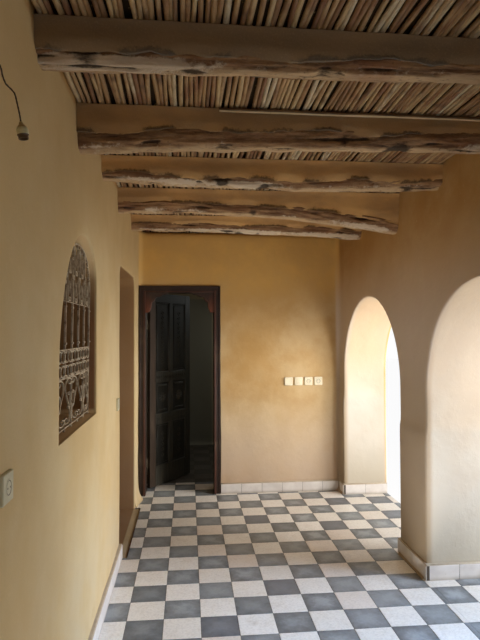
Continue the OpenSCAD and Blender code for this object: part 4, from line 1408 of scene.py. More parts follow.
lobes = Shape()
for side, edge_x in ((1, lobe_low[0]), (-1, lobe_high[0])):
    rings = []
    for y, inset in ((lobe_low[1] + BOARD_BEVEL, 0.0), (lobe_low[1], BOARD_BEVEL)):
        tip = [(edge_x, lobe_low[2]), (edge_x, lobe_high[2]), (edge_x + side * LOBE_WIDTH, lobe_high[2])]
        foot = lobe_low[2] + inset * 0.7
        lobed = [(edge_x + side * (a - inset), foot + b) for a, b in reversed(lobed_edge())]
        rings.append([(a, y, b) for a, b in tip + lobed])
    back_ring = [(a, lobe_high[1], b) for a, y, b in rings[0]]
    red = [unit(1.6 - 2.2 * (b - lobe_low[2]) / lobe_height) for a, y, b in rings[0]]
    lobes.rings([back_ring] + rings, red=red * 3)
    level = lobe_low[2] + RIM_UP
    rim = [(edge_x + side * (a - RIM_IN), lobe_low[1] + 0.0006, level + b) for a, b in lobed_edge()[4:-6]]
    lobes.tube(rim, RIM_RADIUS, 6)
    heart = (edge_x + side * ROSETTE_IN, lobe_low[1] + 0.001, lobe_high[2] - ROSETTE_DOWN)
    for turn in turns(PETALS):
        tip = (heart[0] + PETAL_LENGTH * math.cos(turn), heart[1], heart[2] + PETAL_LENGTH * math.sin(turn))
        lobes.tube([heart, tip], [0.0015, 0.0035], 6)
show("lobe_boards", lobes, FRAME_WOOD, ("door_lobes",))

# %% [markdown]
# The leaf is a frame of stiles and rails that holds raised panels, with a carved
# band and rosettes. It is built shut, in the plane of the frame, and then turned
# about the hinge to the angle that it stands at, exactly as the solid was.

# %% Door leaf
HINGE = frame["record"]["behaviour"]["joints"][0]
HINGE_PLACE = Vector(HINGE["pos_m"])
OPEN_ANGLE = math.radians(-HINGE["range_deg"][0])
TURN = Matrix.Translation((HINGE_PLACE.x, HINGE_PLACE.y, 0)) @ Matrix.Rotation(OPEN_ANGLE, 4, "Z")
LEAF_X0, LEAF_W, LEAF_T = 0.008, 0.69, 0.038
LEAF_BACK = -0.004
LEAF_FRONT = LEAF_BACK - LEAF_T
LEAF_LOW, LEAF_TOP = (corner[2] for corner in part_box("door_leaf"))
STILE, MID_STILE, BASE_RAIL, RAIL = 0.088, 0.058, 0.19, 0.095
MID_PANEL, LOW_PANEL = 0.33, 0.43
FIELD = 0.012
PANEL_BORDER = 0.024
MOULD, MOULD_OUT, MOULD_EDGE = 0.010, 0.008, 0.003
RAISED_OUT, RAISED_EDGE = 0.007, 0.006
FILLET_IN, FILLET_OUT = 0.012, 0.0105
ROSETTE_RINGS = ((0.058, 12), (0.03, 8))
COLUMN_END, COLUMN_BEAD, BEAD_REACH, BEAD_RISE = 0.08, 0.05, 0.022, 0.02
WOOD_EDGE = 0.0025
LAP = 0.001


def rosette(shape, x, level, z):
    """Two rings of petals round a place, each petal a spindle."""
    for size, petals in ROSETTE_RINGS:
        for turn in turns(petals):
            base, middle, tip = (
                (x + size * reach * math.cos(turn), level - out, z + size * reach * math.sin(turn))
                for reach, out in ((0.35, 0), (0.675, 0.001), (1, 0)))
            shape.tube([base, middle, tip], [0.002, 0.006, 0.002], 6)


def bead_column(shape, x, level, z0, z1):
    """A row of carved lozenges up the middle of a panel."""
    height = z1 - z0 - 2 * COLUMN_END
    count = int(height / COLUMN_BEAD)
    for k in range(count):
        z = z0 + COLUMN_END + (k + 0.5) * height / count
        for side in (-1, 1):
            bulge = (x + side * BEAD_REACH, level - 0.001, z)
            path = [(x, level, z - BEAD_RISE), bulge, (x, level, z + BEAD_RISE)]
            shape.tube(path, [0.002, 0.0045, 0.002], 6)


def raised_panel(shape, x0, x1, z0, z1, front, carved):
    """A sunk field, a raised middle with bevels, and carving on it."""
    face, inward = (LEAF_FRONT, 1) if front else (LEAF_BACK, -1)
    field = face + inward * FIELD

    def slab(a0, a1, b0, b1, out, chamfer, deep=0.0):
        low_y, high_y = sorted((field, field - inward * out))
        shape.box((a0, low_y - 0.0005, b0), (a1, high_y, b1), chamfer, deep=deep)

    for a in (x0 + LAP, x1 - MOULD):
        slab(a, a + MOULD - LAP, z0, z1, MOULD_OUT, MOULD_EDGE)
    for b in (z0 + LAP, z1 - MOULD):
        slab(x0 + 4 * LAP, x1 - 4 * LAP, b, b + MOULD - LAP, MOULD_OUT, MOULD_EDGE)
    border = PANEL_BORDER
    slab(x0 + border, x1 - border, z0 + border, z1 - border, RAISED_OUT, RAISED_EDGE, 1.0)
    if not front:
        return
    middle_x, level = (x0 + x1) / 2, field - inward * MOULD_OUT
    if carved == "column":
        bead_column(shape, middle_x, level, z0, z1)
        return
    rosette(shape, middle_x, level, (z0 + z1) / 2)
    inset = border + FILLET_IN
    for b in (z1 - inset - MOULD, z0 + inset):
        slab(x0 + inset, x1 - inset, b, b + MOULD, FILLET_OUT, BODY_EDGE)


leaf, stile = Shape(), Shape()
rail_tops = [LEAF_LOW + BASE_RAIL]
rail_tops += [rail_tops[0] + LOW_PANEL + RAIL]
rail_tops += [rail_tops[1] + MID_PANEL + RAIL]
panel_tops = [rail_tops[1] - RAIL, rail_tops[2] - RAIL, LEAF_TOP - RAIL]
inside_0, inside_1 = LEAF_X0 + STILE, LEAF_X0 + LEAF_W - STILE
middle = (inside_0 + inside_1) / 2
panel_width = (LEAF_W - 2 * STILE - MID_STILE) / 2
stile.box((LEAF_X0, LEAF_FRONT, LEAF_LOW), (inside_0, LEAF_BACK, LEAF_TOP), WOOD_EDGE)
leaf.box((inside_1, LEAF_FRONT, LEAF_LOW), (LEAF_X0 + LEAF_W, LEAF_BACK, LEAF_TOP), WOOD_EDGE)
RAIL_SINK, MID_SINK = 0.0008, 0.0004
for low, high in zip([LEAF_LOW] + panel_tops, rail_tops + [LEAF_TOP]):
    leaf.box((inside_0 - LAP, LEAF_FRONT + RAIL_SINK, low),
             (inside_1 + LAP, LEAF_BACK - RAIL_SINK, high), WOOD_EDGE)
for low, high, kind in zip(rail_tops, panel_tops, ("column", "rosette", "column")):
    leaf.box((middle - MID_STILE / 2, LEAF_FRONT + MID_SINK, low - LAP),
             (middle + MID_STILE / 2, LEAF_BACK - MID_SINK, high + LAP), WOOD_EDGE)
    for left in (inside_0, middle + MID_STILE / 2):
        right = left + panel_width
        leaf.box((left - LAP, LEAF_FRONT + FIELD, low - LAP),
                 (right + LAP, LEAF_BACK - FIELD, high + LAP), deep=1.0)
        for to_gallery in (True, False):
            raised_panel(leaf, left, right, low, high, to_gallery, kind)

# %% Carved bands on the two middle rails
BAND_TEETH = 14
TOOTH_HALF, TOOTH_LOW, TOOTH_HIGH = 0.014, 0.03, 0.062
for level in panel_tops[:2]:
    for k in range(BAND_TEETH):
        x = inside_0 + (k + 0.5) * (inside_1 - inside_0) / BAND_TEETH
        left, right = ((x + side * TOOTH_HALF, LEAF_FRONT + 0.0005, level + TOOTH_LOW) for side in (-1, 1))
        leaf.tube([left, (x, LEAF_FRONT - 0.0005, level + TOOTH_HIGH), right], 0.0028, 6)
for name, shape, finish, solids in (
        ("carved_leaf", leaf, LEAF_WOOD, ("door_leaf",)), ("hinge_stile", stile, STILE_WOOD, ())):
    turned = shape.mesh(name)
    turned.transform(TURN)
    show(name, turned, finish, solids, "door")

# %% [markdown]
# Wrought iron is flat bar, heated and bent. A scroll is a bar whose bend tightens
# towards both ends, so its heading is a power of the distance along it. If both ends
# wind the same way it is a C, otherwise an S. Each scroll is worked out in a unit
# square and then fitted between the bars that hold it.

# %% Iron finish
def iron_finish():
    f = Finish("wrought iron", roughness=0.6, Metallic=0.1)
    rust = f.noise(30.0, 5, 0.65).step(0.42, 0.72)
    f.colour(f.layers(
        tint(190, 174, 146),
        (rust, tint(132, 108, 82)),
        (f.noise(70.0, 3).step(0.55, 0.75) * 0.5, tint(214, 200, 174))))
    f.gloss(0.5 + rust * 0.3)
    f.relief(f.noise(120.0, 3), 0.0006, 0.8)
    return f


IRON = iron_finish()
for node in ("door_straps", "door_hinge_pins"):
    dress(frame["nodes"][node], IRON)

# %% Scrolls that fit a unit square
SCROLL_POINTS = 44
SCROLL_WIND = 2.4 * math.pi
SCROLL_POWER = 3.2


def scroll(kind, lean=0.0, wind=SCROLL_WIND):
    """Points of an S or a C scroll that fills the unit square, its middle turned by lean."""
    points = np.zeros((SCROLL_POINTS + 1, 2))
    for k in range(SCROLL_POINTS):
        along = 2 * (k + 0.5) / SCROLL_POINTS - 1
        winding = wind * abs(along) ** SCROLL_POWER
        heading = math.pi / 2 + lean + (-winding if kind == "C" and along < 0 else winding)
        points[k + 1] = points[k] + (math.cos(heading), math.sin(heading))
    points -= points.min(axis=0)
    return points / points.max(axis=0)


def fitted(points, y0, y1, z0, z1):
    """Unit points placed between two places and two levels. Swapped ends mirror them."""
    return [(y0 + (y1 - y0) * a, z0 + (z1 - z0) * b) for a, b in points]


S_SCROLL, LYRE_SCROLL, C_SCROLL = scroll("S"), scroll("S", -0.35), scroll("C")
print("scrolls of", SCROLL_POINTS, "pieces")

# %% [markdown]
# The grille stands in the arch of the window. Its outer bar follows the arch, six
# spaces lie between seven bars, and three rails cross them. The two lower rails hold
# a band of scrolls between them, so every scroll below is placed by bars and rails.

# %% Flat bars and the window's grille
grille_low, grille_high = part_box("window_grille")
GRILLE_X = (grille_low[0] + grille_high[0]) / 2
GRILLE_LEAN = 0.011
SPACES = 6
BAR_HALF, SCROLL_HALF, RAIL_HALF, THIN_RAIL_HALF = 0.0038, 0.0022, 0.0024, 0.0013
BAR_DEPTH, SCROLL_DEPTH = 0.0042, 0.0034
GRILLE_BAR = 0.012
GRILLE_GAP, TOP_GAP = 0.004, 0.01
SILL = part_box("window_wall_below")[1][2]
FOOT_HEIGHT = 0.016
LOW_RAIL, MIDDLE_RAIL, HIGH_RAIL = (SILL + level for level in (0.225, 0.345, 0.55))
BARS_TO_FOOT = (0, 1, 3, 5, 6)
grille_pitch = (grille_high[1] - grille_low[1] - GRILLE_BAR) / SPACES
bar_places = [grille_low[1] + GRILLE_BAR / 2 + k * grille_pitch for k in range(SPACES + 1)]
iron = Shape()


def grille_x(z):
    return GRILLE_X + GRILLE_LEAN * (z - SILL) / (WINDOW_TOP - SILL)


def strip(path, half_wide, half_deep):
    """A flat bar along a path in the window's plane, with its depth across the wall."""
    rings = []
    widths = half_wide if isinstance(half_wide, list) else [half_wide] * len(path)
    for i, (y, z) in enumerate(path):
        before, after = path[max(i - 1, 0)], path[min(i + 1, len(path) - 1)]
        dy, dz = after[0] - before[0], after[1] - before[1]
        length = math.hypot(dy, dz) or 1.0
        ny, nz = -dz / length * widths[i], dy / length * widths[i]
        x = grille_x(z)
        rings.append([(x - half_deep, y - ny, z - nz), (x + half_deep, y - ny, z - nz),
                      (x + half_deep, y + ny, z + nz), (x - half_deep, y + ny, z + nz)])
    iron.rings(rings)


def scroll_pair(points, y0, y1, z0, z1):
    """Two mirrored scrolls that meet in the middle between y0 and y1."""
    middle = (y0 + y1) / 2
    for outer in (y0, y1):
        strip(fitted(points, outer, middle, z0, z1), SCROLL_HALF, SCROLL_DEPTH)


def top_of(outline):
    """The height of an outline above a place, read between its points."""
    places, heights = zip(*sorted((a, b) for a, b in outline if b > FLOOR + 0.6))
    return lambda y: float(np.interp(y, places, heights))


arch_at = top_of(lowered(window_outline(TOP_GAP)))
outline = lowered(window_outline(GRILLE_GAP + BAR_HALF, FOOT_HEIGHT))
strip(outline, BAR_HALF, BAR_DEPTH)
strip([outline[0], outline[-1]], RAIL_HALF, BAR_DEPTH)
for level, half in ((LOW_RAIL, RAIL_HALF), (MIDDLE_RAIL, RAIL_HALF), (HIGH_RAIL, THIN_RAIL_HALF)):
    strip([(bar_places[0], level), (bar_places[-1], level)], half, BAR_DEPTH * half / RAIL_HALF)
for k, y in enumerate(bar_places[1:-1], 1):
    foot = SILL + FOOT_HEIGHT if k in BARS_TO_FOOT else LOW_RAIL
    strip([(y, foot), (y, arch_at(y))], BAR_HALF, BAR_DEPTH)

# %% [markdown]
# Below the low rail stand lyres with a small C in each half. Between the rails lie
# pairs of C scrolls, and above them S scrolls climb as far as the arch lets them.
# Rings fill the rest of the arch. Each bar has two collars and stands on a ball.

# %% Fill the grille with scrolls
SPACE = 0.005
HEAD_SCROLL = 0.118
LEAST_HEAD_SPACE = 0.05
BAND_SCROLL = 0.054
LEAF_HALF = (0.001, 0.0045, 0.006, 0.0045, 0.001)
LEAF_SPACING = 0.015
LYRE_FOOT, SMALL_HALF = 0.03, 0.02
SMALL_LEVELS = (SILL + 0.09, SILL + 0.16)
RING_RADIUS, RING_TURN, RING_INSET = 0.010, 4.8, 0.022
COLLARS = ((MIDDLE_RAIL, 0.022), (HIGH_RAIL, -0.026))
COLLAR_HALF, COLLAR_HEIGHT = 0.006, 0.010
BALL_STEPS, BALL_RADIUS = 6, 0.008
for near, far in zip(BARS_TO_FOOT, BARS_TO_FOOT[1:]):
    y0, y1 = bar_places[near] + SPACE, bar_places[far] - SPACE
    scroll_pair(LYRE_SCROLL, y0, y1, SILL + LYRE_FOOT, LOW_RAIL - SPACE)
    quarter = (y1 - y0) / 4 * 0.55
    for middle in (y0 + quarter, y1 - quarter):
        small = fitted(C_SCROLL, middle - SMALL_HALF, middle + SMALL_HALF, *SMALL_LEVELS)
        strip(small, SCROLL_HALF, SCROLL_DEPTH)
for y0, y1 in zip(bar_places, bar_places[1:]):
    y0, y1 = y0 + SPACE, y1 - SPACE
    scroll_pair(C_SCROLL, y0, y1, LOW_RAIL + SPACE, LOW_RAIL + BAND_SCROLL)
    scroll_pair(C_SCROLL, y0, y1, MIDDLE_RAIL - SPACE, MIDDLE_RAIL - BAND_SCROLL)
    level = HIGH_RAIL + SPACE
    head_top = min(arch_at(y0 + TOP_GAP), arch_at(y1 - TOP_GAP)) - SPACE
    while head_top - level > LEAST_HEAD_SPACE:
        rest = head_top - level
        height = rest if rest < HEAD_SCROLL * 1.5 else HEAD_SCROLL
        scroll_pair(S_SCROLL, y0, y1, level, level + height)
        foot = level + height / 2 - 2 * LEAF_SPACING
        strip([((y0 + y1) / 2, foot + LEAF_SPACING * n) for n in range(5)], list(LEAF_HALF), SCROLL_DEPTH)
        level += height + SPACE
for n, (y, z) in enumerate(lowered(window_outline(RING_INSET))):
    if z > HIGH_RAIL + 0.02 and n % 3 == 0:
        angles = even(n * 0.9, n * 0.9 + RING_TURN, 6)
        curl = [(y + RING_RADIUS * math.cos(t), z + RING_RADIUS * math.sin(t)) for t in angles]
        strip(curl, SCROLL_HALF, SCROLL_DEPTH)
x = grille_x(HIGH_RAIL)
for y in bar_places:
    for rail, shift in COLLARS:
        iron.box((x - COLLAR_HALF, y - COLLAR_HALF, rail + shift),
                 (x + COLLAR_HALF, y + COLLAR_HALF, rail + shift + COLLAR_HEIGHT), BODY_EDGE)
    angles = even(0, math.pi, BALL_STEPS)
    ball = [(GRILLE_X, y, SILL + 0.001 + FOOT_HEIGHT * 0.45 * (1 - math.cos(t))) for t in angles]
    iron.tube(ball, [max(0.001, BALL_RADIUS * math.sin(t)) for t in angles], 10)
show("grille_ironwork", iron, IRON, ("window_grille",))

# %% [markdown]
# The shutters and the side door are upright boards with open joints, held by cross
# ledges on both faces. The boards end at the arch or the round corners above them, so
# their tops are read from the outline of the opening.

# %% Shutters and side door, made of boards
BOARD_JOINT = 0.0012
BOARD_SLICES = 6
BOARD_SINK, BOARD_WARP = 0.006, 0.003
LEDGE = 0.007


def boards(shape, low, high, top_at, count, seed):
    """Upright boards between two corners. top_at gives the height of the opening at a place."""
    random.seed(seed)
    width = (high[1] - low[1]) / count
    for k in range(count):
        near, far = low[1] + k * width + BOARD_JOINT, low[1] + (k + 1) * width - BOARD_JOINT
        tops = [(y, top_at(y)) for y in even(near, far, BOARD_SLICES)]
        outline = [(near, low[2])] + tops + [(far, low[2])]
        sink = BOARD_SINK + random.uniform(0, BOARD_WARP)
        shape.prism(outline, low[0] + sink, high[0] - sink)


def ledges(shape, low, high, inset, levels, width):
    for level in levels:
        for x0, x1 in ((low[0], low[0] + LEDGE), (high[0] - LEDGE, high[0])):
            shape.box((x0, low[1] + inset, level), (x1, high[1] - inset, level + width), BODY_EDGE)


low, high = (Vector(corner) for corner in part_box("window_shutters"))
arch_top = top_of([(a, b) for a, b in lowered(window_outline(GRILLE_GAP)) if b > SILL + 0.01])
SHUTTER_GAP = Vector((0, 0.002, 0))
wood = Shape()
boards(wood, low + SHUTTER_GAP, high - SHUTTER_GAP, arch_top, 6, 3)
ledges(wood, low, high, 0.02, (SILL + 0.12, SILL + 0.62), 0.07)
show("shutter_boards", wood, BOARD_WOOD, ("window_shutters",))
low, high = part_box("side_door")
wood = Shape()
boards(wood, low, high, top_of(doorway_outline(low[2])), 7, 4)
ledges(wood, low, high, 0.03, (FLOOR + 0.2, FLOOR + 1.0, FLOOR + 1.75), 0.11)
show("side_door_boards", wood, BOARD_WOOD, ("side_door",))

# %% [markdown]
# The side doorway has no tiles, only a worn floor of red earth and lime, one tile's
# thickness lower.

# %% Step of the side doorway
STEP_CELLS, STEP_COLUMNS = 28, 12
STEP_WEAR, STEP_SINK = 0.004, 0.0045


def step_finish():
    f = Finish("red lime floor", roughness=0.8)
    f.colour(f.layers(
        tint(112, 78, 70),
        (f.noise(7.0, 5, 0.65).step(0.35, 0.7), tint(150, 112, 98)),
        (f.noise(24.0, 4).step(0.55, 0.75) * 0.5, tint(168, 138, 116))))
    f.relief(f.noise(30.0, 5, 0.7), 0.003, 0.8)
    return f


def step_level(x, y):
    return STEP_BOX[1][2] + STEP_WEAR * wobble(x * 5, y * 5, 1) - STEP_SINK


step_low = (cad_low[0] + 0.004, *STEP_BOX[0][1:])
step = lifted_slab(step_low, STEP_BOX[1], STEP_COLUMNS, STEP_CELLS, step_level)
show("worn_step", step, step_finish(), ("side_door_step",))

# %% [markdown]
# Skirting tiles are cut from the same 200 mm stock and set on edge, each a hair out of
# line. A bead of pale lime mortar closes them on top, and the joints between them are
# darker with dirt. The strip of mortar behind the tiles gives both.

# %% Skirting finish and tiles
SKIRT_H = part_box("skirting_end")[1][2] - FLOOR
SKIRT_T = ARCADE_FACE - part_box("skirting_arcade")[0][0]
MORTAR_TOP = 0.007
TILES_TOP = FLOOR + SKIRT_H - MORTAR_TOP
LAST_PIECE = 0.02
TILE_ROUGH_CUT, TILE_SHIFT = 0.0015, 0.0012
IN_WALL, MORTAR_IN_WALL, MORTAR_SET_BACK = 0.006, 0.008, 0.003
SKIRT_EDGE, MORTAR_EDGE = 0.0014, 0.004
REVEAL_END = ARCH_OUT - 0.004


def skirting_finish():
    f = Finish("cream skirting tile", roughness=0.45, Specular_IOR_Level=0.45)
    f.colour(f.layers(
        tint(208, 200, 194),
        (f.noise(6.0, 4).step(0.35, 0.7), tint(226, 220, 214)),
        (f.noise(40.0, 5, 0.7).step(0.58, 0.8) * 0.35, tint(178, 164, 140)),
        (f.axis(2).step(FLOOR + 0.03, FLOOR) * 0.5, tint(150, 136, 114))))
    f.gloss(0.38 + f.noise(30.0, 3) * 0.25)
    f.relief(f.noise(60.0, 3), 0.0005, 0.5)
    return f


SKIRTING = skirting_finish()
SKIRTING_MORTAR = mortar_finish("skirting mortar", tint(174, 158, 136), tint(204, 190, 168), TILES_TOP)
mortar = Shape()
random.seed(31)


def skirt(shape, axis, start, stop, face, outward):
    """A run of tiles along X or Y on a wall face. outward is the side that they stand on."""
    place = start
    while place < stop - 0.003:
        end = min(place + TILE, stop)
        if stop - end < LAST_PIECE:
            end = stop
        thick = SKIRT_T - random.uniform(0.0, TILE_SHIFT)
        top = TILES_TOP - random.uniform(0, TILE_ROUGH_CUT)
        low, high = sorted((face - outward * IN_WALL, face + outward * thick))
        shape.box(on_axis(axis, place + JOINT, low, FLOOR), on_axis(axis, end - JOINT, high, top), SKIRT_EDGE)
        place = end
    low, high = sorted((face - outward * MORTAR_IN_WALL, face + outward * (SKIRT_T - MORTAR_SET_BACK)))
    mortar.box(on_axis(axis, start, low, FLOOR), on_axis(axis, stop, high, FLOOR + SKIRT_H), MORTAR_EDGE)


side_low, side_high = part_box("skirting_window_side")
end_low, end_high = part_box("skirting_end")
runs = [
    ("skirting_window_side", "Y", side_low[1], side_high[1], WINDOW_FACE, 1),
    ("skirting_end", "X", end_low[0], end_high[0], END_FACE, -1)]
piers = [(ARCH_FAR[0], END_FACE)] + [(ARCH_FAR[n + 1], ARCH_FAR[n] - ARCH_WIDTH) for n in range(BAYS - 1)]
piers += [(ENTRANCE_FACE, ARCH_FAR[-1] - ARCH_WIDTH)]
for near, far in piers:
    around_near, around_far = near > ENTRANCE_FACE, far < END_FACE
    start, stop = near - SKIRT_T * around_near, far + SKIRT_T * around_far
    runs.append(("skirting_arcade", "Y", start, stop, ARCADE_FACE, -1))
    if around_near:
        runs.append(("skirting_arcade", "X", ARCADE_FACE, REVEAL_END, near, -1))
    if around_far:
        runs.append(("skirting_arcade", "X", ARCADE_FACE, REVEAL_END, far, 1))
skirtings = {}
for node, *run in runs:
    skirt(skirtings.setdefault(node, Shape()), *run)
for node, shape in skirtings.items():
    show(node + "_tiles", shape, SKIRTING, (node,))
show("skirting_mortar", mortar, SKIRTING_MORTAR)

# %% [markdown]
# Switch plates are moulded squares with a rounded rim. The first is blank, the
# second holds a rocker, and the last two hold round sockets, each with a raised
# ring, a well and two holes. The well and the holes are dark pieces of painted shade.

# %% Wall plates
def plate_finish(name, colour_low, colour_high):
    f = Finish(name, roughness=0.38, Specular_IOR_Level=0.5)
    f.colour(f.mix(f.noise(14.0, 3).step(0.4, 0.7), colour_low, colour_high))
    f.gloss(0.34 + f.noise(50.0, 2) * 0.12)
    f.relief(f.noise(200.0, 2), 0.0001, 0.4)
    return f


PLATE = plate_finish("cream plate", tint(226, 214, 184), tint(236, 226, 198))
AGED_PLATE = plate_finish("aged plate", tint(188, 182, 150), tint(202, 196, 166))
# The dark pieces in the sockets' wells and pin holes are painted shade.
HOLE_SHADE = plate_finish("dark well", tint(58, 54, 48), tint(76, 70, 62))
PLATE_SIDE = 0.08
PLATE_T = 0.009
PLATE_IN_WALL, PLATE_EDGE = 0.008, 0.003
ROCKER, ROCKER_KEY = (0.02, 0.028), (0.0175, 0.025)
ROCKER_OUT, ROCKER_IN = 0.003, 0.004
RING, WELL_RING, SOCKET_FACE = (0.021, 0.0018), (0.0183, 0.0016), 0.0185
PIN_APART, PIN_HOLE = 0.0095, 0.0026
RING_STEPS = 32


def ring_path(radius, y):
    return [(radius * math.cos(t), y, radius * math.sin(t)) for t in even(0, 2 * math.pi, RING_STEPS)]


def plate_to_wall(shape, holes, place, across, kind):
    """A plate built facing -Y at the origin, then turned so that across is its width."""
    part, wells = Shape(), Shape()
    half = PLATE_SIDE / 2
    face = -PLATE_T
    part.box((-half, face, -half), (half, PLATE_IN_WALL, half), PLATE_EDGE)
    if kind == "rocker":
        wide, high = ROCKER
        part.box((-wide, face - 0.0005, -high), (wide, -ROCKER_IN, high), BODY_EDGE)
        wide, high = ROCKER_KEY
        part.box((-wide, face - ROCKER_OUT, -high), (wide, -ROCKER_IN, 0.0), BODY_EDGE)
    if kind == "socket":
        part.tube(ring_path(RING[0], face), RING[1], 8)
        wells.tube(ring_path(WELL_RING[0], face + 0.0002), WELL_RING[1], 8)
        part.tube([(0.0, face + 0.002, 0.0), (0.0, face - 0.0008, 0.0)], SOCKET_FACE, 24)
        for x in (-PIN_APART, PIN_APART):
            wells.tube([(x, face - 0.0014, 0), (x, -ROCKER_IN, 0)], PIN_HOLE, 12)
    (px, py, pz), (ax, ay) = place, across
    for source, target in ((part, shape), (wells, holes)):
        turned = [(px + ax * x - ay * y, py + ay * x + ax * y, pz + z) for x, y, z in source.points]
        target.add(turned, source.faces)


plates, side_shape, wells = Shape(), Shape(), Shape()
plates_low, plates_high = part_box("wall_plates")
KINDS = ("blank", "rocker", "socket", "socket")
plate_pitch = (plates_high[0] - plates_low[0] - PLATE_SIDE) / (len(KINDS) - 1)
for k, kind in enumerate(KINDS):
    x = plates_low[0] + PLATE_SIDE / 2 + k * plate_pitch
    plate_to_wall(plates, wells, (x, END_FACE, (plates_low[2] + plates_high[2]) / 2), (1, 0), kind)
show("plates", plates, PLATE, ("wall_plates",))
side_low, side_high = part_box("side_plates")
for y, z, kind in (
        (side_low[1] + PLATE_SIDE / 2, side_high[2] - PLATE_SIDE / 2, "socket"),
        (side_high[1] - PLATE_SIDE / 2, side_low[2] + PLATE_SIDE / 2, "rocker")):
    plate_to_wall(side_shape, wells, (WINDOW_FACE, y, z), (0, 1), kind)
show("side_wall_plates", side_shape, AGED_PLATE, ("side_plates",))
show("socket_wells", wells, HOLE_SHADE)

# %% [markdown]
# High on the window side a bare lamp holder hangs from a short length of old twisted
# flex. Two insulated strands laid round each other look like one tube with a groove
# that winds along it, so the ring's radius is a wave that turns as it goes.

# %% Lamp flex
FLEX = 0.0045
FLEX_PITCH = 0.012
FLEX_SIDES = 14
FLEX_STEP = 0.0012
GROOVE, GROOVE_POWER = 0.28, 0.6
AHEAD = 3
FLEX_ROUTE = [
    (-0.985, -2.372, 2.372), (-0.979, -2.372, 2.372), (-0.974, -2.369, 2.369), (-0.972, -2.364, 2.361),
    (-0.972, -2.358, 2.351), (-0.970, -2.353, 2.342), (-0.967, -2.348, 2.333), (-0.961, -2.345, 2.327),
    (-0.955, -2.341, 2.322), (-0.949, -2.338, 2.315), (-0.946, -2.336, 2.306), (-0.944, -2.335, 2.296),
    (-0.942, -2.334, 2.286), (-0.940, -2.333, 2.276), (-0.938, -2.332, 2.266), (-0.936, -2.332, 2.255),
    (-0.934, -2.332, 2.243)]


def walk(route, step):
    """Points along a route, one every step, with the distance walked to each."""
    distances = np.cumsum([0.0] + [math.dist(a, b) for a, b in zip(route, route[1:])])
    count = round(distances[-1] / step)
    places = np.linspace(0.0, distances[-1], count + 1)
    return [(s, Vector([np.interp(s, distances, [p[k] for p in route]) for k in range(3)])) for s in places]


def flex_finish():
    f = Finish("old flex", roughness=0.6)
    f.colour(f.mix(f.noise(90.0, 3), tint(52, 38, 27), tint(82, 60, 42)))
    f.relief(f.noise(900.0, 2), 0.0002)
    return f


flex_rings = []
flex_points = walk(FLEX_ROUTE, FLEX_STEP)
for k, (s, point) in enumerate(flex_points):
    before = flex_points[max(k - AHEAD, 0)][1]
    after = flex_points[min(k + AHEAD, len(flex_points) - 1)][1]
    ahead = (after - before).normalized()
    side = Vector((0.0, 1.0, 0.0)).cross(ahead).normalized()
    up = ahead.cross(side)
    ring = []
    for turn in turns(FLEX_SIDES):
        lobe = abs(math.cos(turn - math.pi * s / FLEX_PITCH))
        reach = FLEX / 2 * (1 - GROOVE + GROOVE * lobe ** GROOVE_POWER)
        ring.append(point + reach * (side * math.cos(turn) + up * math.sin(turn)))
    flex_rings.append(ring)
flex = Shape()
flex.rings(flex_rings)
flex_piece = show("twisted_flex", flex, flex_finish(), ("lamp_flex",), smooth_all=True)

# %% [markdown]
# The lamp holder is turned, so it is one profile swept round the line in which the
# flex ends. The profile runs down the outside, round the lip and back up the bore. A
# number on its points tells the finish where the aged collar and the dark mouth are.

# %% Lamp holder
HOLDER_R, HOLDER_H = 0.015, 0.044
HOLDER_TURNS = 40
COLLAR_DOWN, MOUTH_DOWN = -0.40, -0.77
HOLDER_PROFILE = (
    (0.0, 0.0), (0.30, 0.0), (0.34, -0.04), (0.36, -0.14), (0.58, -0.22), (0.80, -0.33), (0.97, -0.42),
    (1.0, -0.46), (1.0, -0.56), (0.965, -0.575), (0.965, -0.59), (1.0, -0.605), (1.0, -0.75),
    (0.94, -0.775), (0.83, -0.80), (0.83, -0.97), (0.80, -1.0), (0.68, -1.0), (0.655, -0.98),
    (0.65, -0.55), (0.0, -0.55))


def holder_finish():
    f = Finish("cream lamp holder", roughness=0.4)
    low = f.mark("low")
    f.colour(f.layers(
        tint(206, 196, 150),
        (f.noise(60.0, 4).step(0.4, 0.7), tint(226, 218, 176)),
        (low.step(0.35, 0.15), tint(176, 150, 98)),
        (low.step(0.7, 0.85), tint(84, 64, 44))))
    f.gloss(0.36 + f.noise(200.0, 2) * 0.15)
    f.relief(f.noise(300.0, 2), 0.0001, 0.4)
    return f


flex_end = Vector(FLEX_ROUTE[-1])
hang = (flex_end - Vector(FLEX_ROUTE[-2])).normalized()
across = Vector((0.0, 1.0, 0.0))
beside = across.cross(hang).normalized()
holder_rings, holder_low = [], []
for r, down in HOLDER_PROFILE:
    centre = flex_end - hang * down * HOLDER_H
    reach = max(r * HOLDER_R, 0.0002)
    holder_rings.append([
        centre + reach * (across * math.cos(t) + beside * math.sin(t)) for t in turns(HOLDER_TURNS)])
    holder_low += [1.0 if down < MOUTH_DOWN else 0.5 if down < COLLAR_DOWN else 0.0] * HOLDER_TURNS
holder = Shape()
holder.rings(holder_rings, low=holder_low)
holder_piece = show("holder", holder, holder_finish(), ("lamp_holder",))

# %% [markdown]
# The camera stands where the photograph was taken: just inside the entrance arch, at
# eye height, turned a little to the right. Its lens follows from the picture's focal
# length in pixels, because the long side of the frame is 36 mm of sensor.

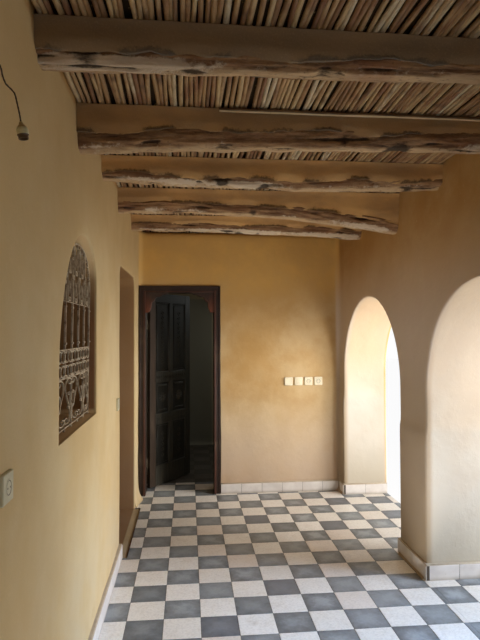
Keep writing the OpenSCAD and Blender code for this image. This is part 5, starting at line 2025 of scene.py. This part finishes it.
# %% Camera
EYE = (0.3346 - GRID_X, -5.1901 + GRID_Y, 1.5552 + FLOOR)
YAW, PITCH, ROLL = math.radians(5.483), math.radians(1.354), math.radians(-0.193)
FOCAL_PIXELS = 537.9
LONG_SIDE_PIXELS = 640
SENSOR = 36.0
camera_data = bpy.data.cameras.new("eye")
camera_data.sensor_width = SENSOR
camera_data.lens = FOCAL_PIXELS / LONG_SIDE_PIXELS * SENSOR
camera_data.clip_start = 0.02
camera = placed("eye", camera_data)
turn = Matrix.Rotation(-YAW, 4, "Z") @ Matrix.Rotation(math.pi / 2 + PITCH, 4, "X")
turn = turn @ Matrix.Rotation(ROLL, 4, "Z")
camera.matrix_world = Matrix.Translation(EYE) @ turn
bpy.context.scene.camera = camera
print("lens", round(camera_data.lens, 2), "mm")

# %% [markdown]
# The object stands on a pale floor under a plain sky. Both have to look white to the
# camera without throwing more light on the walls. The Light Path node tells a camera
# ray from the others, so the camera sees a glow that no wall receives. Glossy rays see
# the white sky too, or else the tiles would mirror a grey one.

# %% Floor and sky
REACH = 30.0
stage_mesh = bpy.data.meshes.new("studio_floor")
corners = [(-REACH, -REACH, 0), (REACH, -REACH, 0), (REACH, REACH, 0), (-REACH, REACH, 0)]
stage_mesh.from_pydata(corners, [], [(0, 1, 2, 3)])
stage_floor = placed("studio_floor", stage_mesh)
WHITE = (1.0, 1.0, 1.0, 1.0)
GLOW_SHARE = 0.95
pale = Finish("pale floor", roughness=0.9, Base_Color=tint(232, 231, 229))
glow = pale.node("ShaderNodeEmission", {}, {"Color": WHITE})
camera_ray = pale.node("ShaderNodeLightPath", output="Is Camera Ray")
pale.show_mixed(camera_ray * GLOW_SHARE, Wire(pale, pale.shader.outputs[0]), glow)
stage_mesh.materials.append(pale.material)

world = bpy.data.worlds.new("plain sky")
bpy.context.scene.world = world
world.use_nodes = True
sky = Nodes(world.node_tree, "ShaderNodeOutputWorld")
light_sky = sky.node("ShaderNodeBackground", {}, {"Color": tint(226, 236, 250), "Strength": 0.46})
white_sky = sky.node("ShaderNodeBackground", {}, {"Color": WHITE})
seen, glossy, through = (
    sky.node("ShaderNodeLightPath", output="Is %s Ray" % kind)
    for kind in ("Camera", "Glossy", "Transmission"))
sky.show_mixed(seen.math("MAXIMUM", glossy).math("MAXIMUM", through), light_sky, white_sky)
print("pale floor and white sky for the camera")

# %% [markdown]
# Light comes in through the arches, as it does in the real gallery. Two broad soft
# lamps stand outside the arcade, low enough to reach the far wall and not the ceiling,
# which gets only what the ground and the floor throw back. The smaller lamps are for
# the end wall, the near floor, the blue sky on it, the entrance and the room.

# %% Lamps
def lamp(name, place, target, size, power, colour, spread=180):
    """A rectangular lamp at a place, turned to a target and hidden from the camera."""
    data = bpy.data.lights.new(name, "AREA")
    data.shape = "RECTANGLE"
    data.size, data.size_y = size
    data.energy = power
    data.color = colour
    data.spread = math.radians(spread)
    obj = placed(name, data)
    obj.location = place
    obj.rotation_euler = (Vector(target) - Vector(place)).to_track_quat("-Z", "Y").to_euler()
    obj.visible_camera = False
    print(name, power, "W")


SUNNY, WARM, GOLDEN, COOL = (1.0, 0.98, 0.95), (1.0, 0.96, 0.88), (1.0, 0.96, 0.9), (0.98, 0.98, 1.0)
lamp("arcade light", (4.4, -0.9, 2.2), (-0.5, 1.25, 1.35), (2.6, 2.4), 67, SUNNY, 80)
lamp("courtyard light", (5.0, 2.2, 1.7), (-1.0, 0.6, 1.3), (4.0, 2.8), 33, COOL, 110)
lamp("ground glow", (2.7, 0.3, 0.08), (1.9, 0.5, 3.0), (2.4, 2.4), 100, WARM)
lamp("floor glow", (0.3, -0.5, 0.22), (0.15, 1.0, 2.6), (1.3, 1.3), 10, GOLDEN, 120)
lamp("slant light", (2.7, -2.2, 1.2), (0.75, 1.48, 1.2), (0.8, 1.4), 6, (1.0, 0.97, 0.93), 50)
lamp("near light", (3.4, -2.6, 2.5), (-0.3, -2.0, 0.1), (1.2, 1.2), 8, SUNNY, 45)
lamp("sky patch", (3.3, -1.8, 2.4), (0.85, -1.7, 0.2), (1.4, 1.4), 20, (0.2, 0.5, 1.0), 55)
lamp("entrance light", (-0.2, -6.6, 1.1), (0.2, 0.5, 1.9), (2.6, 1.4), 14, (0.97, 0.98, 1.0))
lamp("room light", (0.55, 3.3, 2.25), (-0.2, 2.2, 0.9), (0.5, 0.5), 4.2, (0.97, 1.0, 0.96))
bpy.context.scene.view_settings.view_transform = "Standard"
